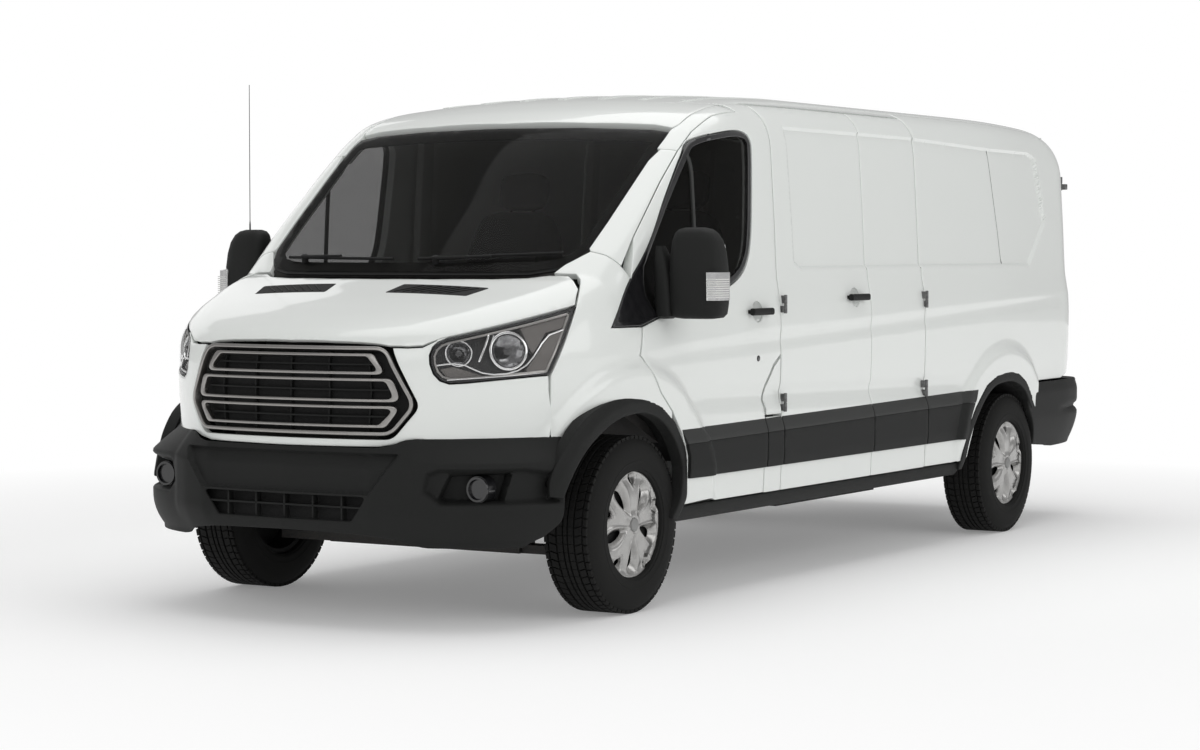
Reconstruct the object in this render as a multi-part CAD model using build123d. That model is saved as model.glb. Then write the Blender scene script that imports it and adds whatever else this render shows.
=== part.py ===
from build123d import *
import math
import os

# A low-roof, long-wheelbase panel van. Millimetres; +Z up, the nose towards -Y, the van's left side on +X.
# The origin is on the ground, under the middle of the overall length and width.
# In the outlines below, y counts from the front axle towards the rear.

# Overall sizes
wheelbase = 3750
front_overhang = 1010
rear_overhang = 1208
half_width = 1003          # body side at its widest
mirror_half_width = 1237   # out to the tip of a mirror
roof_z = 2135              # top of the roof on the centre line
antenna_top = 2160
nose_bow = 0.00025         # how fast the nose and windscreen fall back from the centre, 1/mm

# Walls and gaps
wall = 55                  # doors, body sides and roof sides
nose_wall = 22             # bonnet, wings and front panel
glass = 6
gap = 6                    # between neighbouring panels
seat_gap = 0.3             # between pieces that rest on each other

# Heights
floor_top = 640
floor_thickness = 40
sill_bottom = 330
door_bottom = 400
door_top = 2015
rail_top = 2060            # lower edge of the roof panel
rear_door_bottom = 745
rear_door_top = 2000
front_bumper_top = 700
front_bumper_bottom = 320
rear_bumper_bottom = 420

# Places along the van, from the front axle
b_line = 1192              # front door to side door
m_line = 2089              # between the side door's leaves
r_line = 2679              # side door to rear quarter
flap_front = 1040
rear_face = wheelbase + 1060
rear_arch_y = wheelbase - 90
front_arch_y = -25

# Running gear
tyre_radius = 352
tyre_width = 235
rim_radius = 208
front_track = 1732
rear_track = 1743
kingpin_x = 715
arch_height = 435
front_arch_half = 425
rear_arch_half = 475
spindle_radius = 28

rail_front = -895
rail_x = (385, 455)
tower_x = (400, 450)       # strut towers on the rails

# Hinges
barrel_radius = 8
barrel_height = 36
clearance = 6              # around moving hinge parts

front_axle_y = front_overhang - (front_overhang + wheelbase + rear_overhang) / 2
far = 3 * half_width


def at(y):
    """Row y of a place given from the front axle."""
    return front_axle_y + y


def box(x, y, z):
    """Box from (low, high) pairs; y from the front axle."""
    corner = Pos((x[0] + x[1]) / 2, at((y[0] + y[1]) / 2), (z[0] + z[1]) / 2)
    return corner * Box(abs(x[1] - x[0]), abs(y[1] - y[0]), abs(z[1] - z[0]))


def prism(points, direction):
    """Closed polygon pushed along a vector."""
    return Solid.extrude(Face(Wire.make_polygon(points, close=True)), Vector(*direction))


def side_prism(outline, x_low, x_high):
    """Outline of (y, z) pushed from x_low to x_high."""
    return prism([(x_low, at(y), z) for y, z in outline], (x_high - x_low, 0, 0))


def front_prism(outline, y_low, y_high):
    """Outline of (x, z) pushed from y_low to y_high."""
    return prism([(x, at(y_low), z) for x, z in outline], (0, y_high - y_low, 0))


def plan_prism(outline, z_low, z_high):
    """Outline of (x, y) pushed from z_low to z_high."""
    return prism([(x, at(y), z_low) for x, y in outline], (0, 0, z_high - z_low))


def bowed_prism(outline):
    """Outline of (y, z, bow share) swept across the van, falling back towards the sides."""
    sections = []
    for x in (-1100, -550, 0, 550, 1100):
        points = [(x, at(y + share * nose_bow * x * x), z) for y, z, share in outline]
        sections.append(Wire.make_polygon(points, close=True))
    return Solid.make_loft(sections)


def inset(outline, amount):
    """Closed outline with every edge moved to its inner side by amount."""
    area = sum(a[0] * b[1] - b[0] * a[1] for a, b in zip(outline, outline[1:] + outline[:1]))
    turn = 1 if area > 0 else -1
    moved = []
    for before, here, after in zip(outline[-1:] + outline[:-1], outline, outline[1:] + outline[:1]):
        d1 = Vector(here[0] - before[0], here[1] - before[1]).normalized()
        d2 = Vector(after[0] - here[0], after[1] - here[1]).normalized()
        n1 = Vector(-d1.Y, d1.X) * turn
        n2 = Vector(-d2.Y, d2.X) * turn
        mitre = (n1 + n2) * (amount / (1 + n1.dot(n2)))
        moved.append((here[0] + mitre.X, here[1] + mitre.Y) + tuple(here[2:]))
    return moved


def both_sides(half):
    """Outline from its right half (x >= 0, top to bottom or front to back)."""
    return half + [(-x, other) for x, other in reversed(half) if x > 0]


def mirrored(shape):
    return shape.mirror(Plane.YZ)


def joined(*shapes):
    whole = shapes[0]
    for shape in shapes[1:]:
        whole = whole + shape
    return whole


def upright(x, y, z_low, z_high, radius):
    """Round bar along Z."""
    return Pos(x, at(y), (z_low + z_high) / 2) * Cylinder(radius, z_high - z_low)


def crosswise(x_low, x_high, y, z, radius):
    """Round bar along X."""
    return Pos((x_low + x_high) / 2, at(y), z) * Rot(0, 90, 0) * Cylinder(radius, x_high - x_low)


# Body shape: a bowed side outline, a cross-section and a plan outline, cut to one another.
side_outline = [
    (-960, 250, 1), (-965, 850, 1), (-955, 1070, 1), (-925, 1115, 1), (-860, 1160, 1),
    (-700, 1222, 1), (-500, 1282, 1), (-285, 1343, 1),
    (525, 1957, 0.85), (700, 2030, 0.6), (950, 2082, 0.3), (1300, roof_z - 15, 0),
    (1800, roof_z, 0), (wheelbase - 100, roof_z, 0), (rear_face - 380, roof_z - 22, 0),
    (rear_face - 160, roof_z - 75, 0), (rear_face - 40, roof_z - 190, 0), (rear_face, roof_z - 360, 0),
    (rear_face, 250, 0)]
cross_half = [
    (0, roof_z + 3), (450, roof_z - 8), (half_width - 163, roof_z - 42), (half_width - 75, roof_z - 100),
    (half_width - 55, 1800), (half_width - 33, 1400), (half_width, 1200), (half_width - 4, 900),
    (half_width - 14, 560), (half_width - 60, 200)]
plan_half = [
    (0, -985), (440, -975), (620, -850), (880, -478), (960, -210), (half_width - 4, 110),
    (half_width, 900), (half_width, wheelbase - 250), (half_width - 35, wheelbase + 760),
    (half_width - 90, rear_face - 80), (half_width - 210, rear_face), (0, rear_face)]
cab_half = [(0, -985), (440, -975), (560, -850), (740, -478), (800, -210), (850, 110), (half_width - 23, 900)]
cab_half = cab_half + plan_half[7:]
shoulder_low, shoulder_high = 1080, 1350   # between these heights the plan narrows to the cab's


def body_solid(depth):
    """The closed body, with its whole surface moved inwards by depth."""
    side = bowed_prism(inset(side_outline, depth))
    across = front_prism(inset(both_sides(cross_half), depth), -far, rear_face + far)
    levels = [(0, plan_half), (shoulder_low, plan_half), (shoulder_high, cab_half), (roof_z + 200, cab_half)]
    rings = [[(x, at(y), z) for x, y in inset(both_sides(half), depth)] for z, half in levels]
    plan = Solid.make_loft([Wire.make_polygon(ring, close=True) for ring in rings], ruled=True)
    return side & across & plan


outer = body_solid(0)
lower_cut = box((-far, far), (-far, rear_face + far), (-far, sill_bottom))
open_below = box((-half_width + wall, half_width - wall), (-800, rear_face - wall), (0, floor_top - 20))
cabin_shell = outer - body_solid(wall) - open_below - lower_cut
nose_shell = outer - body_solid(nose_wall) - open_below - lower_cut
glass_shell = outer - body_solid(glass)


def ellipse_cut(y, half_length, x_low, x_high):
    """Wheel arch opening."""
    face = Plane(origin=(x_low, at(y), tyre_radius), x_dir=(0, 1, 0), z_dir=(1, 0, 0)) * Ellipse(
        half_length, arch_height)
    return extrude(face, x_high - x_low)


front_arch = ellipse_cut(front_arch_y, front_arch_half, 480, far)
rear_arch = ellipse_cut(rear_arch_y, rear_arch_half, 690, far)

# Outlines in side view, (y, z)
front_door_outline = [
    (-155, 1133), (45, 1133), (6, 1019), (27, 1004), (70, 938), (125, 868), (225, 800), (318, 705),
    (372, 590), (380, door_bottom), (flap_front, door_bottom), (1044, 720), (1030, 798), (1053, 860),
    (1126, 943), (b_line, 985), (b_line, door_top + 8), (967, door_top + 2), (770, 1990), (648, 1915),
    (545, 1833), (396, 1712), (240, 1589), (112, 1489)]
front_window_outline = [
    (80, 1300), (170, 1400), (380, 1612), (570, 1797), (650, 1862), (770, 1905), (921, 1922), (993, 1908),
    (1016, 1870), (997, 1624), (969, 1452), (912, 1352), (793, 1300)]
flap_outline = [(1053, 728), (1039, 798), (1062, 855), (1132, 934), (b_line - 14, 934), (b_line - 14, 728)]


def grown(outline, amount):
    return inset(outline, -amount)


# Hinge axes, (x, y), and the heights of their barrels
front_door_axis = (half_width - 36, -34)
front_door_hinges = (905, 1040)
leaf_axis_x = half_width + 14
front_leaf_axis = (leaf_axis_x, b_line + 14)
rear_leaf_axis = (leaf_axis_x, r_line - 14)
leaf_hinges = (740, 1162)
rear_door_axis = (half_width - 175, rear_face + 16)
rear_door_hinges = (860, 1760)
bonnet_axis = (-205, 1297)      # (y, z)
bonnet_hinge_x = 640
tray_top = 1270                 # water tray under the windscreen
flap_axis = (half_width + 6, b_line - 9)


def upright_hinge(axis, heights, fixed_to, moving_to):
    """Barrels on an upright axis: fixed below, moving above, each with a web.
    fixed_to and moving_to are the webs' ((x low, x high), (y low, y high))."""
    fixed, moving = [], []
    for z in heights:
        split = z + barrel_height
        top = split + seat_gap + barrel_height
        fixed.append(upright(*axis, z, split, barrel_radius) + box(*fixed_to, (z, split)))
        moving.append(upright(*axis, split + seat_gap, top, barrel_radius)
                      + box(*moving_to, (split + seat_gap, top)))
    return fixed, moving


def hinge_room(axis, heights, reach, lower):
    """Room round a hinge's fixed (lower) or moving (upper) half."""
    room = []
    for z in heights:
        low = z if lower else z + barrel_height
        room.append(box((axis[0] - reach[0], axis[0] + reach[1]), (axis[1] - reach[2], axis[1] + reach[3]),
                        (low - clearance, low + barrel_height + clearance)))
    return room


def cut(shape, tools):
    for tool in tools:
        shape = shape - tool
    return shape


def swing_limit(axis, edge):
    """Everything nearer to an upright axis than an edge point, so that a free edge swings clear."""
    radius = math.hypot(axis[0] - edge[0], axis[1] - edge[1])
    return upright(*axis, 0, roof_z + 200, radius)


# Everything between the windscreen pillars
pillar_room = front_prism([(0, 1000), (762, 1000), (762, 1362), (796, 1929), (800, 2100), (0, 2100)], -400, 900)


# Front doors
def front_door():
    """Left front door, with its window cut out."""
    leaf = cabin_shell & side_prism(inset(front_door_outline, gap / 2), 600, far)
    leaf = leaf & swing_limit(front_door_axis, (half_width, b_line - gap / 2))
    leaf = leaf - side_prism(front_window_outline, 600, far) - pillar_room
    fixed, moving = upright_hinge(front_door_axis, front_door_hinges,
                                  ((front_door_axis[0] - 60, front_door_axis[0]),
                                   (front_door_axis[1] - 6, front_door_axis[1] + 6)),
                                  ((front_door_axis[0] - 22, front_door_axis[0] - 4),
                                   (front_door_axis[1], front_door_axis[1] + 150)))
    leaf = cut(leaf, hinge_room(front_door_axis, front_door_hinges, (70, 30, 30, 70), True))
    return joined(leaf, *moving), fixed


left_front_door, left_front_hinges = front_door()
left_door_glass = (glass_shell & side_prism(grown(front_window_outline, -seat_gap), 600, far)) - pillar_room


def mirror():
    """Left door mirror: a tall head on two arms, ended at the door's skin."""
    head = box((1035, mirror_half_width), (165, 318), (1170, 1515))
    head = fillet(head.edges().filter_by(Axis.Z), 45)
    head = fillet(head.edges().group_by(Axis.Z)[-1], 30)
    arms = [box((880, 1080), (170, 240), (z, z + 42)) for z in (1196, 1310)]
    return joined(head, *arms) - outer


left_mirror = mirror()
right_mirror = mirrored(left_mirror)
antenna = upright(-1150, 275, 1515, antenna_top, 3.5)


# Side door: two leaves on the left side
def side_leaf(outline, axis, free_edge, hinge_side):
    leaf = cabin_shell & side_prism(inset(outline, gap / 2), 600, far)
    leaf = leaf & swing_limit(axis, (half_width, free_edge))
    near, away = sorted((axis[1], axis[1] + hinge_side * 34))
    post_low, post_high = sorted((axis[1] - hinge_side * 7, axis[1] + hinge_side * 7))
    fixed, moving = upright_hinge(axis, leaf_hinges, ((half_width - wall - 53, axis[0]), (post_low, post_high)),
                                  ((half_width - 20, axis[0] + 4), (near, away)))
    reach = (120, 40, 30, 30)
    leaf = cut(leaf, hinge_room(axis, leaf_hinges, reach, True))
    return joined(leaf, *moving), fixed


front_leaf_outline = [(b_line, door_bottom), (m_line, door_bottom), (m_line, door_top), (b_line, door_top)]
rear_leaf_outline = [(m_line, door_bottom), (r_line, door_bottom), (r_line, door_top), (m_line, door_top)]
side_door_front_leaf, front_leaf_fixed = side_leaf(front_leaf_outline, front_leaf_axis, m_line - gap / 2, 1)
side_door_rear_leaf, rear_leaf_fixed = side_leaf(rear_leaf_outline, rear_leaf_axis, m_line + gap / 2, -1)


# Rear doors
def rear_door():
    """Left rear door."""
    edge = half_width - 203
    outline = [(gap / 2, rear_door_bottom), (edge, rear_door_bottom), (edge, rear_door_top),
               (gap / 2, rear_door_top)]
    leaf = cabin_shell & front_prism(outline, rear_face - 350, rear_face + 50)
    leaf = leaf & swing_limit(rear_door_axis, (gap / 2, rear_face))
    fixed, moving = upright_hinge(rear_door_axis, rear_door_hinges,
                                  ((rear_door_axis[0], rear_door_axis[0] + 40),
                                   (rear_face - 40, rear_door_axis[1])),
                                  ((rear_door_axis[0] - 60, rear_door_axis[0]),
                                   (rear_face - 6, rear_door_axis[1] + 4)))
    return joined(leaf, *moving), fixed


rear_door_left, rear_hinges_left = rear_door()
rear_door_right = mirrored(rear_door_left)
rear_opening_half = half_width - 197
rear_opening = front_prism([(-rear_opening_half, rear_door_bottom - gap), (rear_opening_half, rear_door_bottom - gap),
                            (rear_opening_half, rear_door_top + gap), (-rear_opening_half, rear_door_top + gap)],
                           rear_face - 350, rear_face + 200)

# Fuel flap and its pocket
flap_solid = (outer - body_solid(12)) & side_prism(flap_outline, 600, far)
flap_solid = flap_solid & swing_limit(flap_axis, (half_width, flap_outline[0][0] - 20))
flap_fixed, flap_moving = upright_hinge(flap_axis, (790,),
                                        ((half_width - 40, flap_axis[0]), (flap_axis[1] - 2, flap_axis[1] + 2)),
                                        ((half_width - 9, flap_axis[0] + 2), (flap_axis[1] - 30, flap_axis[1])))
fuel_flap = joined(flap_solid, *flap_moving)

# Front of the van
wing_join = 390                            # x + y of the join between front panel and wing
lamp_outline = [(-132, 927), (281, 958), (415, 1221), (-118, 1106), (-187, 1038)]   # (x + y) / sqrt 2, z
bonnet_outline = [(-1060, 1076, 1), (-915, 1076, 1), (-827, 1110, 1), (-465, 1226, 1), (-290, 1306, 1),
                  (-306, 1450, 1), (-1060, 1450, 1)]


def diagonal_prism(outline, reach):
    """Outline of ((x + y) / sqrt 2, z) pushed out along the left front diagonal."""
    half = math.sqrt(0.5)
    points = [(s * half, at(s * half), z) for s, z in outline]
    return prism(points, (reach * half, -reach * half, 0))


lamp_room = diagonal_prism(lamp_outline, 1500)
bonnet_half = 830
bonnet_room = bowed_prism(grown(bonnet_outline, gap / 2)) & box(
    (-bonnet_half - gap / 2, bonnet_half + gap / 2), (-1100, 200), (1000, 1500))
bonnet_panel = nose_shell & bowed_prism(inset(bonnet_outline, gap / 2)) & box(
    (gap / 2 - bonnet_half, bonnet_half - gap / 2), (-1100, 200), (1000, 1500))
bonnet_barrels, bonnet_brackets = [], []
for x in (-bonnet_hinge_x, bonnet_hinge_x):
    bonnet_barrels.append(crosswise(x - 20, x + 20, *bonnet_axis, 10)
                          + box((x - 20, x + 20), (bonnet_axis[0] - 50, bonnet_axis[0]),
                                (bonnet_axis[1] - 8, bonnet_axis[1] + 14)))
    for side in (-1, 1):
        low, high = sorted((x + side * (20 + seat_gap), x + side * 32))
        foot = box((low, high), (bonnet_axis[0] - 10, -130), (tray_top - 15, bonnet_axis[1] - 8))
        bonnet_brackets.append(crosswise(low, high, *bonnet_axis, 10) + foot)
bonnet = joined(bonnet_panel, *bonnet_barrels)
bonnet_corner_room = box((754, 834), (-195, -112), (1236, 1325))      # the open bonnet's corner dips here

windscreen_half = [(0, 1957), (795, 1928), (763, 1378), (0, 1376)]
windscreen = glass_shell & front_prism(both_sides(windscreen_half), -400, 900)

front_zone = side_prism([(-1100, front_bumper_top + gap), (-18 - gap / 2, front_bumper_top + gap),
                         (-18 - gap / 2, 1133), (-215, 1133), (-150, 1230), (-250, 1450), (-1100, 1450)],
                        0, far)
arch_zone = side_prism([(-700, front_bumper_top + gap), (-700, 800), (-30, 1010), (0, 1004), (60, 935),
                        (120, 865), (222, 797), (315, 702), (368, 590), (376, sill_bottom), (0, sill_bottom),
                        (0, front_bumper_top + gap)], 700, far)
left_lamp_room = lamp_room & box((0, far), (-1100, 0), (800, 1400))
wing_zone = front_zone + arch_zone
left_wing = nose_shell & wing_zone & box((700, far), (-1100, 1000), (300, 1500))
left_wing = left_wing - bonnet_room - bonnet_corner_room - left_lamp_room - front_arch
left_wing = left_wing - plan_prism([(0, wing_join), (wing_join + 1100, -1100), (-100, -1100), (-100, wing_join)],
                                   0, 1500)
left_wing = left_wing - side_prism(grown(front_door_outline, gap / 2), 600, far)
left_wing = cut(left_wing, hinge_room(front_door_axis, front_door_hinges, (120, 60, 20, 90), False)
                + hinge_room(front_door_axis, front_door_hinges, (120, 60, 20, 20), True))
front_panel = (nose_shell & box((-900, 900), (-1100, 0), (front_bumper_top + gap, 1076 - gap))) - bonnet_room
for lamp in (left_lamp_room, mirrored(left_lamp_room)):
    front_panel = front_panel - lamp
wing_side = plan_prism([(0, wing_join - 1), (wing_join + 1100 - 1, -1100), (1500, -1100), (1500, 200), (0, 1000)],
                       0, 1500)
front_panel = front_panel - wing_side - mirrored(wing_side)
grille_outline = [(-455, 735), (-540, 845), (-435, 1062), (435, 1062), (540, 845), (455, 735)]
front_panel = front_panel - front_prism(grille_outline, -1100, -700)


def grille():
    """Hexagonal grille: a frame with bars across."""
    zone = body_solid(2) - body_solid(24)
    opening = front_prism(inset(grille_outline, seat_gap), -1100, -700)
    plate = zone & opening & box((-far, far), (-1100, -700), (600, 1200))
    frame_hole = front_prism(inset(grille_outline, 32), -1100, -700)
    bars = plate
    slots = plate & frame_hole
    for z in (800, 900, 1000):
        slots = slots - box((-far, far), (-1100, -700), (z - 11, z + 11))
    slots = slots - box((-9, 9), (-1100, -700), (600, 1200))
    return bars - slots


grille_panel = grille()
headlamp = (outer - body_solid(60)) & diagonal_prism(inset(lamp_outline, seat_gap), 1500) & box(
    (0, far), (-1100, 0), (800, 1400))
headlamp = headlamp - bonnet_room

# Bumpers
front_bumper_half = [(0, -front_overhang), (330, -front_overhang + 18), (520, -950), (773, -823), (915, -668),
                     (985, -520), (half_width + 5, -380)]


def bumper_band(half_outline, thick, z_low, z_high, inner_y):
    outside = plan_prism(both_sides(half_outline), z_low, z_high)
    inside = plan_prism(inset(both_sides(half_outline), thick), z_low - 10, z_high + 10)
    return outside - (inside & box((-far, far), inner_y, (0, 2000)))


front_bumper_plan = front_bumper_half + [(half_width + 5, -100)]
front_bumper = bumper_band(front_bumper_plan, 50, front_bumper_bottom, front_bumper_top, (-far, far))
front_bumper = front_bumper - box((-far, far), (-150, 0), (0, 1000)) - front_arch - mirrored(front_arch)
intake = [(-330, 520), (-300, 410), (300, 410), (330, 520)]
front_bumper = front_bumper - front_prism(intake, -1100, -850)
front_bumper = front_bumper + box((-560, 560), (-front_overhang + 48, rail_front - seat_gap), (540, 600))

rear_end = wheelbase + rear_overhang
rear_bumper_half = [(half_width - 4, wheelbase + 400), (half_width - 14, wheelbase + 740),
                    (half_width - 50, rear_face - 40), (half_width - 100, rear_end - 30),
                    (half_width - 180, rear_end), (0, rear_end)]
rear_bumper_whole = plan_prism(both_sides(rear_bumper_half), rear_bumper_bottom, rear_door_bottom - gap)
rear_bumper_room = [(half_width - 64, wheelbase + 300), (half_width - 74, wheelbase + 740),
                    (half_width - 92, rear_face + seat_gap), (0, rear_face + seat_gap)]
rear_bumper_inner = plan_prism(both_sides(rear_bumper_room), 0, 1000)
rear_bumper = rear_bumper_whole - rear_bumper_inner - rear_arch - mirrored(rear_arch)

# Body sides
front_cut = [(-30, 300), (-30, 1004), (-18, 1133), (-215, 1133), (-150, 1230), (-250, 1500), (600, 2300),
             (rear_face + 50, 2300), (rear_face + 50, 300)]
sill_x = (half_width - wall - 61, half_width - wall - 13)
sill_y = (404, rear_arch_y - rear_arch_half)


def post_outline(outer_depth, inner_depth):
    """Band (x, z) behind the body side, from the sill to the roof panel."""
    side = [(x, z) for x, z in cross_half if sill_bottom < z < rail_top]
    ends = [(side[0][0] - 4, rail_top - 4)] + side + [(side[-1][0] - 30, sill_bottom + 5)]
    return [(x - outer_depth, z) for x, z in ends] + [(x - inner_depth, z) for x, z in reversed(ends)]


def body_side():
    """Left side frame with rear quarter, before its side door is cut."""
    side = cabin_shell & side_prism(front_cut, 0, far)
    side = side - box((0, far), (-300, rear_face + 60), (rail_top, 2400))
    side = side - box((0, 800), (rear_face - 400, rear_face + 60), (rear_door_top, 2400))
    side = side - pillar_room - rear_opening - bonnet_room - bonnet_corner_room
    side = side - box((0, far), (rear_arch_y, rear_face + 60), (0, rear_door_bottom)) - rear_arch
    side = side - side_prism(grown(front_door_outline, gap / 2), 600, far)
    side = side - box((0, far), (-400, sill_y[0]), (0, 1133))
    sill = box(sill_x, sill_y, (sill_bottom, floor_top))
    strip = box((sill_x[0], half_width - 30), sill_y, (sill_bottom, door_bottom - gap))
    return side, joined(sill, strip)


quarter, sill = body_side()
b_pillar = front_prism(post_outline(wall + 30, wall + 68), b_line - 45, b_line + 45)
rear_pillar = front_prism(post_outline(wall + 30, wall + 68), r_line - 30, r_line + 45)
side_door_room = side_prism([(b_line - gap / 2, door_bottom - gap / 2), (r_line + gap / 2, door_bottom - gap / 2),
                             (r_line + gap / 2, door_top + gap / 2), (b_line - gap / 2, door_top + gap / 2)], 600, far)
flap_pocket = (outer - body_solid(40)) & side_prism(grown(flap_outline, gap), 600, far)
tail_outline = [(half_width - 110, 797), (half_width + 20, 797), (half_width + 20, 1333), (half_width - 110, 1333)]
tail_room = front_prism(tail_outline, rear_face - 173, rear_face + 50)
left_skin = quarter - side_door_room - flap_pocket - tail_room
left_skin = cut(left_skin, hinge_room(front_leaf_axis, leaf_hinges, (30, 30, 14, 40), False)
                + hinge_room(rear_leaf_axis, leaf_hinges, (30, 30, 40, 14), False))
left_body_side = joined(left_skin, sill, b_pillar, rear_pillar, *front_leaf_fixed, *rear_leaf_fixed,
                        *rear_hinges_left, *flap_fixed)
right_body_side = mirrored(joined(quarter - tail_room, sill, b_pillar, *rear_hinges_left))

# Roof
roof_panel = cabin_shell & box((-far, far), (-300, rear_face + 60), (rail_top, 2400))
for header in (front_prism([(-799, rail_top), (799, rail_top), (795, 1929), (0, 1958), (-795, 1929)], -300, 900),
               box((-800, 800), (rear_face - 400, rear_face + 60), (rear_door_top + gap / 2, rail_top))):
    roof_panel = roof_panel + (cabin_shell & header)

# Floor with four bolt holes for racking, rails and sills
tie_down_x = 560
tie_down_y = (1350, 2750)
tie_down_radius = 6.5
floor_pan = box((-sill_x[0], sill_x[0]), (470, rear_face - wall - 5), (floor_top - floor_thickness, floor_top))
floor_pan = cut(floor_pan, [rear_arch, mirrored(rear_arch), b_pillar, mirrored(b_pillar), rear_pillar])
for x in (-tie_down_x, tie_down_x):
    for y in tie_down_y:
        floor_pan = floor_pan - upright(x, y, floor_top - floor_thickness - 5, floor_top + 5, tie_down_radius)
rail_section = (floor_top - floor_thickness - 130, floor_top - floor_thickness)
rail = box(rail_x, (rail_front, rear_face - wall - seat_gap), rail_section)
chassis_rails = joined(rail, mirrored(rail))
for y in (rail_front + 35, 620, 1400, 2200, 3000, 4150, rear_face - wall - 65):
    chassis_rails = chassis_rails + box((-rail_x[0], rail_x[0]), (y, y + 60),
                                        (rail_section[0] + 10, rail_section[1]))
for side in (-1, 1):
    post = box(sorted((side * tower_x[0], side * tower_x[1])), (-50, 50), (rail_section[1], 960))
    plate = box(sorted((side * tower_x[0], side * (kingpin_x + 45))), (-50, 50), (930, 960))
    chassis_rails = joined(chassis_rails, post, plate)
rear_sill = box((-half_width + 203, half_width - 203), (rear_face - wall, rear_face), (470, rear_door_bottom - gap))

# Bulkhead between engine and cab, with the panel under the windscreen
firewall_outline = [(85, 1320), (115, 1320), (115, 800), (470, floor_top), (470, floor_top - floor_thickness),
                    (85, 770)]
firewall_half = half_width - wall - 71
firewall = side_prism(firewall_outline, -firewall_half, firewall_half)
for low, high in ((-far, -740), (740, far)):
    firewall = firewall - box((low, high), (0, 200), (1115, 1400))
tray = bowed_prism([(-262, tray_top - 30, 1), (-262, tray_top, 1), (-255, tray_top, 1), (-255, 1343, 1),
                    (-245, 1350, 1), (-245, tray_top, 1), (85, tray_top, 0), (85, tray_top - 30, 0)])
tray = tray & box((-755, 755), (-400, 200), (1000, 1500))
firewall = joined(firewall, tray, *bonnet_brackets)
for hinge_side in (1, -1):
    cheek = box(sorted((hinge_side * 860, hinge_side * 888)), (-130, 115), (800, 1120))
    post = box(sorted((hinge_side * 880, hinge_side * 922)), (-130, -26), (800, 1120))
    firewall = joined(firewall, cheek, post)
firewall = joined(firewall, *left_front_hinges, *[mirrored(hinge) for hinge in left_front_hinges])

# Dashboard and steering wheel
dashboard = side_prism([(115 + seat_gap, 900), (115 + seat_gap, 1225), (250, 1235), (390, 1130), (400, 1010),
                        (330, 900)], -700, 700)
column_angle = 32
wheel_centre = (420, 560, 1120)
column_way = (0, math.cos(math.radians(column_angle)), math.sin(math.radians(column_angle)))


def on_column(shape, along):
    """Puts a shape built round Z onto the steering column, some way up from the wheel's centre."""
    base = Vector(wheel_centre[0], at(wheel_centre[1]), wheel_centre[2]) + Vector(*column_way) * along
    return Plane(origin=base, x_dir=(1, 0, 0), z_dir=column_way) * shape


steering_wheel = joined(Torus(185, 15), Pos(0, 0, -12) * Cylinder(62, 34))
for turn in (0, 120, 240):
    steering_wheel = steering_wheel + Rot(0, 0, turn + 90) * Pos(115, 0, -6) * Box(140, 34, 12)
steering_wheel = on_column(steering_wheel, 0)
column = on_column(Pos(0, 0, -149.3) * Cylinder(26, 240), 0)
dashboard = dashboard + column

# Engine bay
engine_block = box((-290, 290), (-720, -60), (rail_section[0], 1080))
engine_block = engine_block + box((-384.7, 384.7), (-420, -360), (rail_section[0] + 10, rail_section[0] + 70))
radiator = box((-340, 340), (-850, -790), (rail_section[1] + seat_gap, 1010))

# Wheels


def tyre(x_middle):
    """Tyre round X, seated on the rim."""
    half = tyre_width / 2
    section = Polyline((rim_radius, -half + 22), (rim_radius + 40, -half), (tyre_radius - 45, -half),
                       (tyre_radius - 8, -half + 20), (tyre_radius, -half + 40), (tyre_radius, half - 40),
                       (tyre_radius - 8, half - 20), (tyre_radius - 45, half), (rim_radius + 40, half),
                       (rim_radius, half - 22), close=True)
    return turned(section, x_middle)


def turned(section, x_middle):
    """Closed section of (radius, along) turned round the wheel's axis."""
    solid = revolve(make_face(section), Axis.Y)
    return Pos(x_middle, 0, tyre_radius) * Rot(0, 0, -90) * solid


def rim(x_middle):
    """Steel wheel: barrel, dished disc and hub seat, with openings between its spokes."""
    half = tyre_width / 2
    section = Polyline((rim_radius, -half + 22), (rim_radius + 8, -half + 17), (rim_radius + 8, -half + 8),
                       (rim_radius - 14, -half + 8), (rim_radius - 18, 28), (70, 34),
                       (spindle_radius + 0.05, 34), (spindle_radius + 0.05, 58), (70, 58), (rim_radius - 18, 50),
                       (rim_radius - 10, half - 8), (rim_radius + 8, half - 8), (rim_radius + 8, half - 17),
                       (rim_radius, half - 22), close=True)
    wheel = turned(section, x_middle)
    for turn in range(5):
        angle = math.radians(turn * 72 + 90)
        wheel = wheel - Pos(x_middle + 50, 128 * math.cos(angle), tyre_radius + 128 * math.sin(angle)) * Rot(
            0, 90, 0) * Cylinder(34, 150)
    return wheel


def left_wheel(track, y):
    move = Pos(0, at(y), 0)
    return move * tyre(track / 2), move * rim(track / 2)


front_tyre, front_rim = left_wheel(front_track, 0)
rear_tyre, rear_rim = left_wheel(rear_track, wheelbase)
spare_wheel = Pos(0, at(4400), 330) * Rot(0, 90, 0) * Pos(0, 0, -tyre_radius) * (tyre(0) + rim(0))

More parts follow.
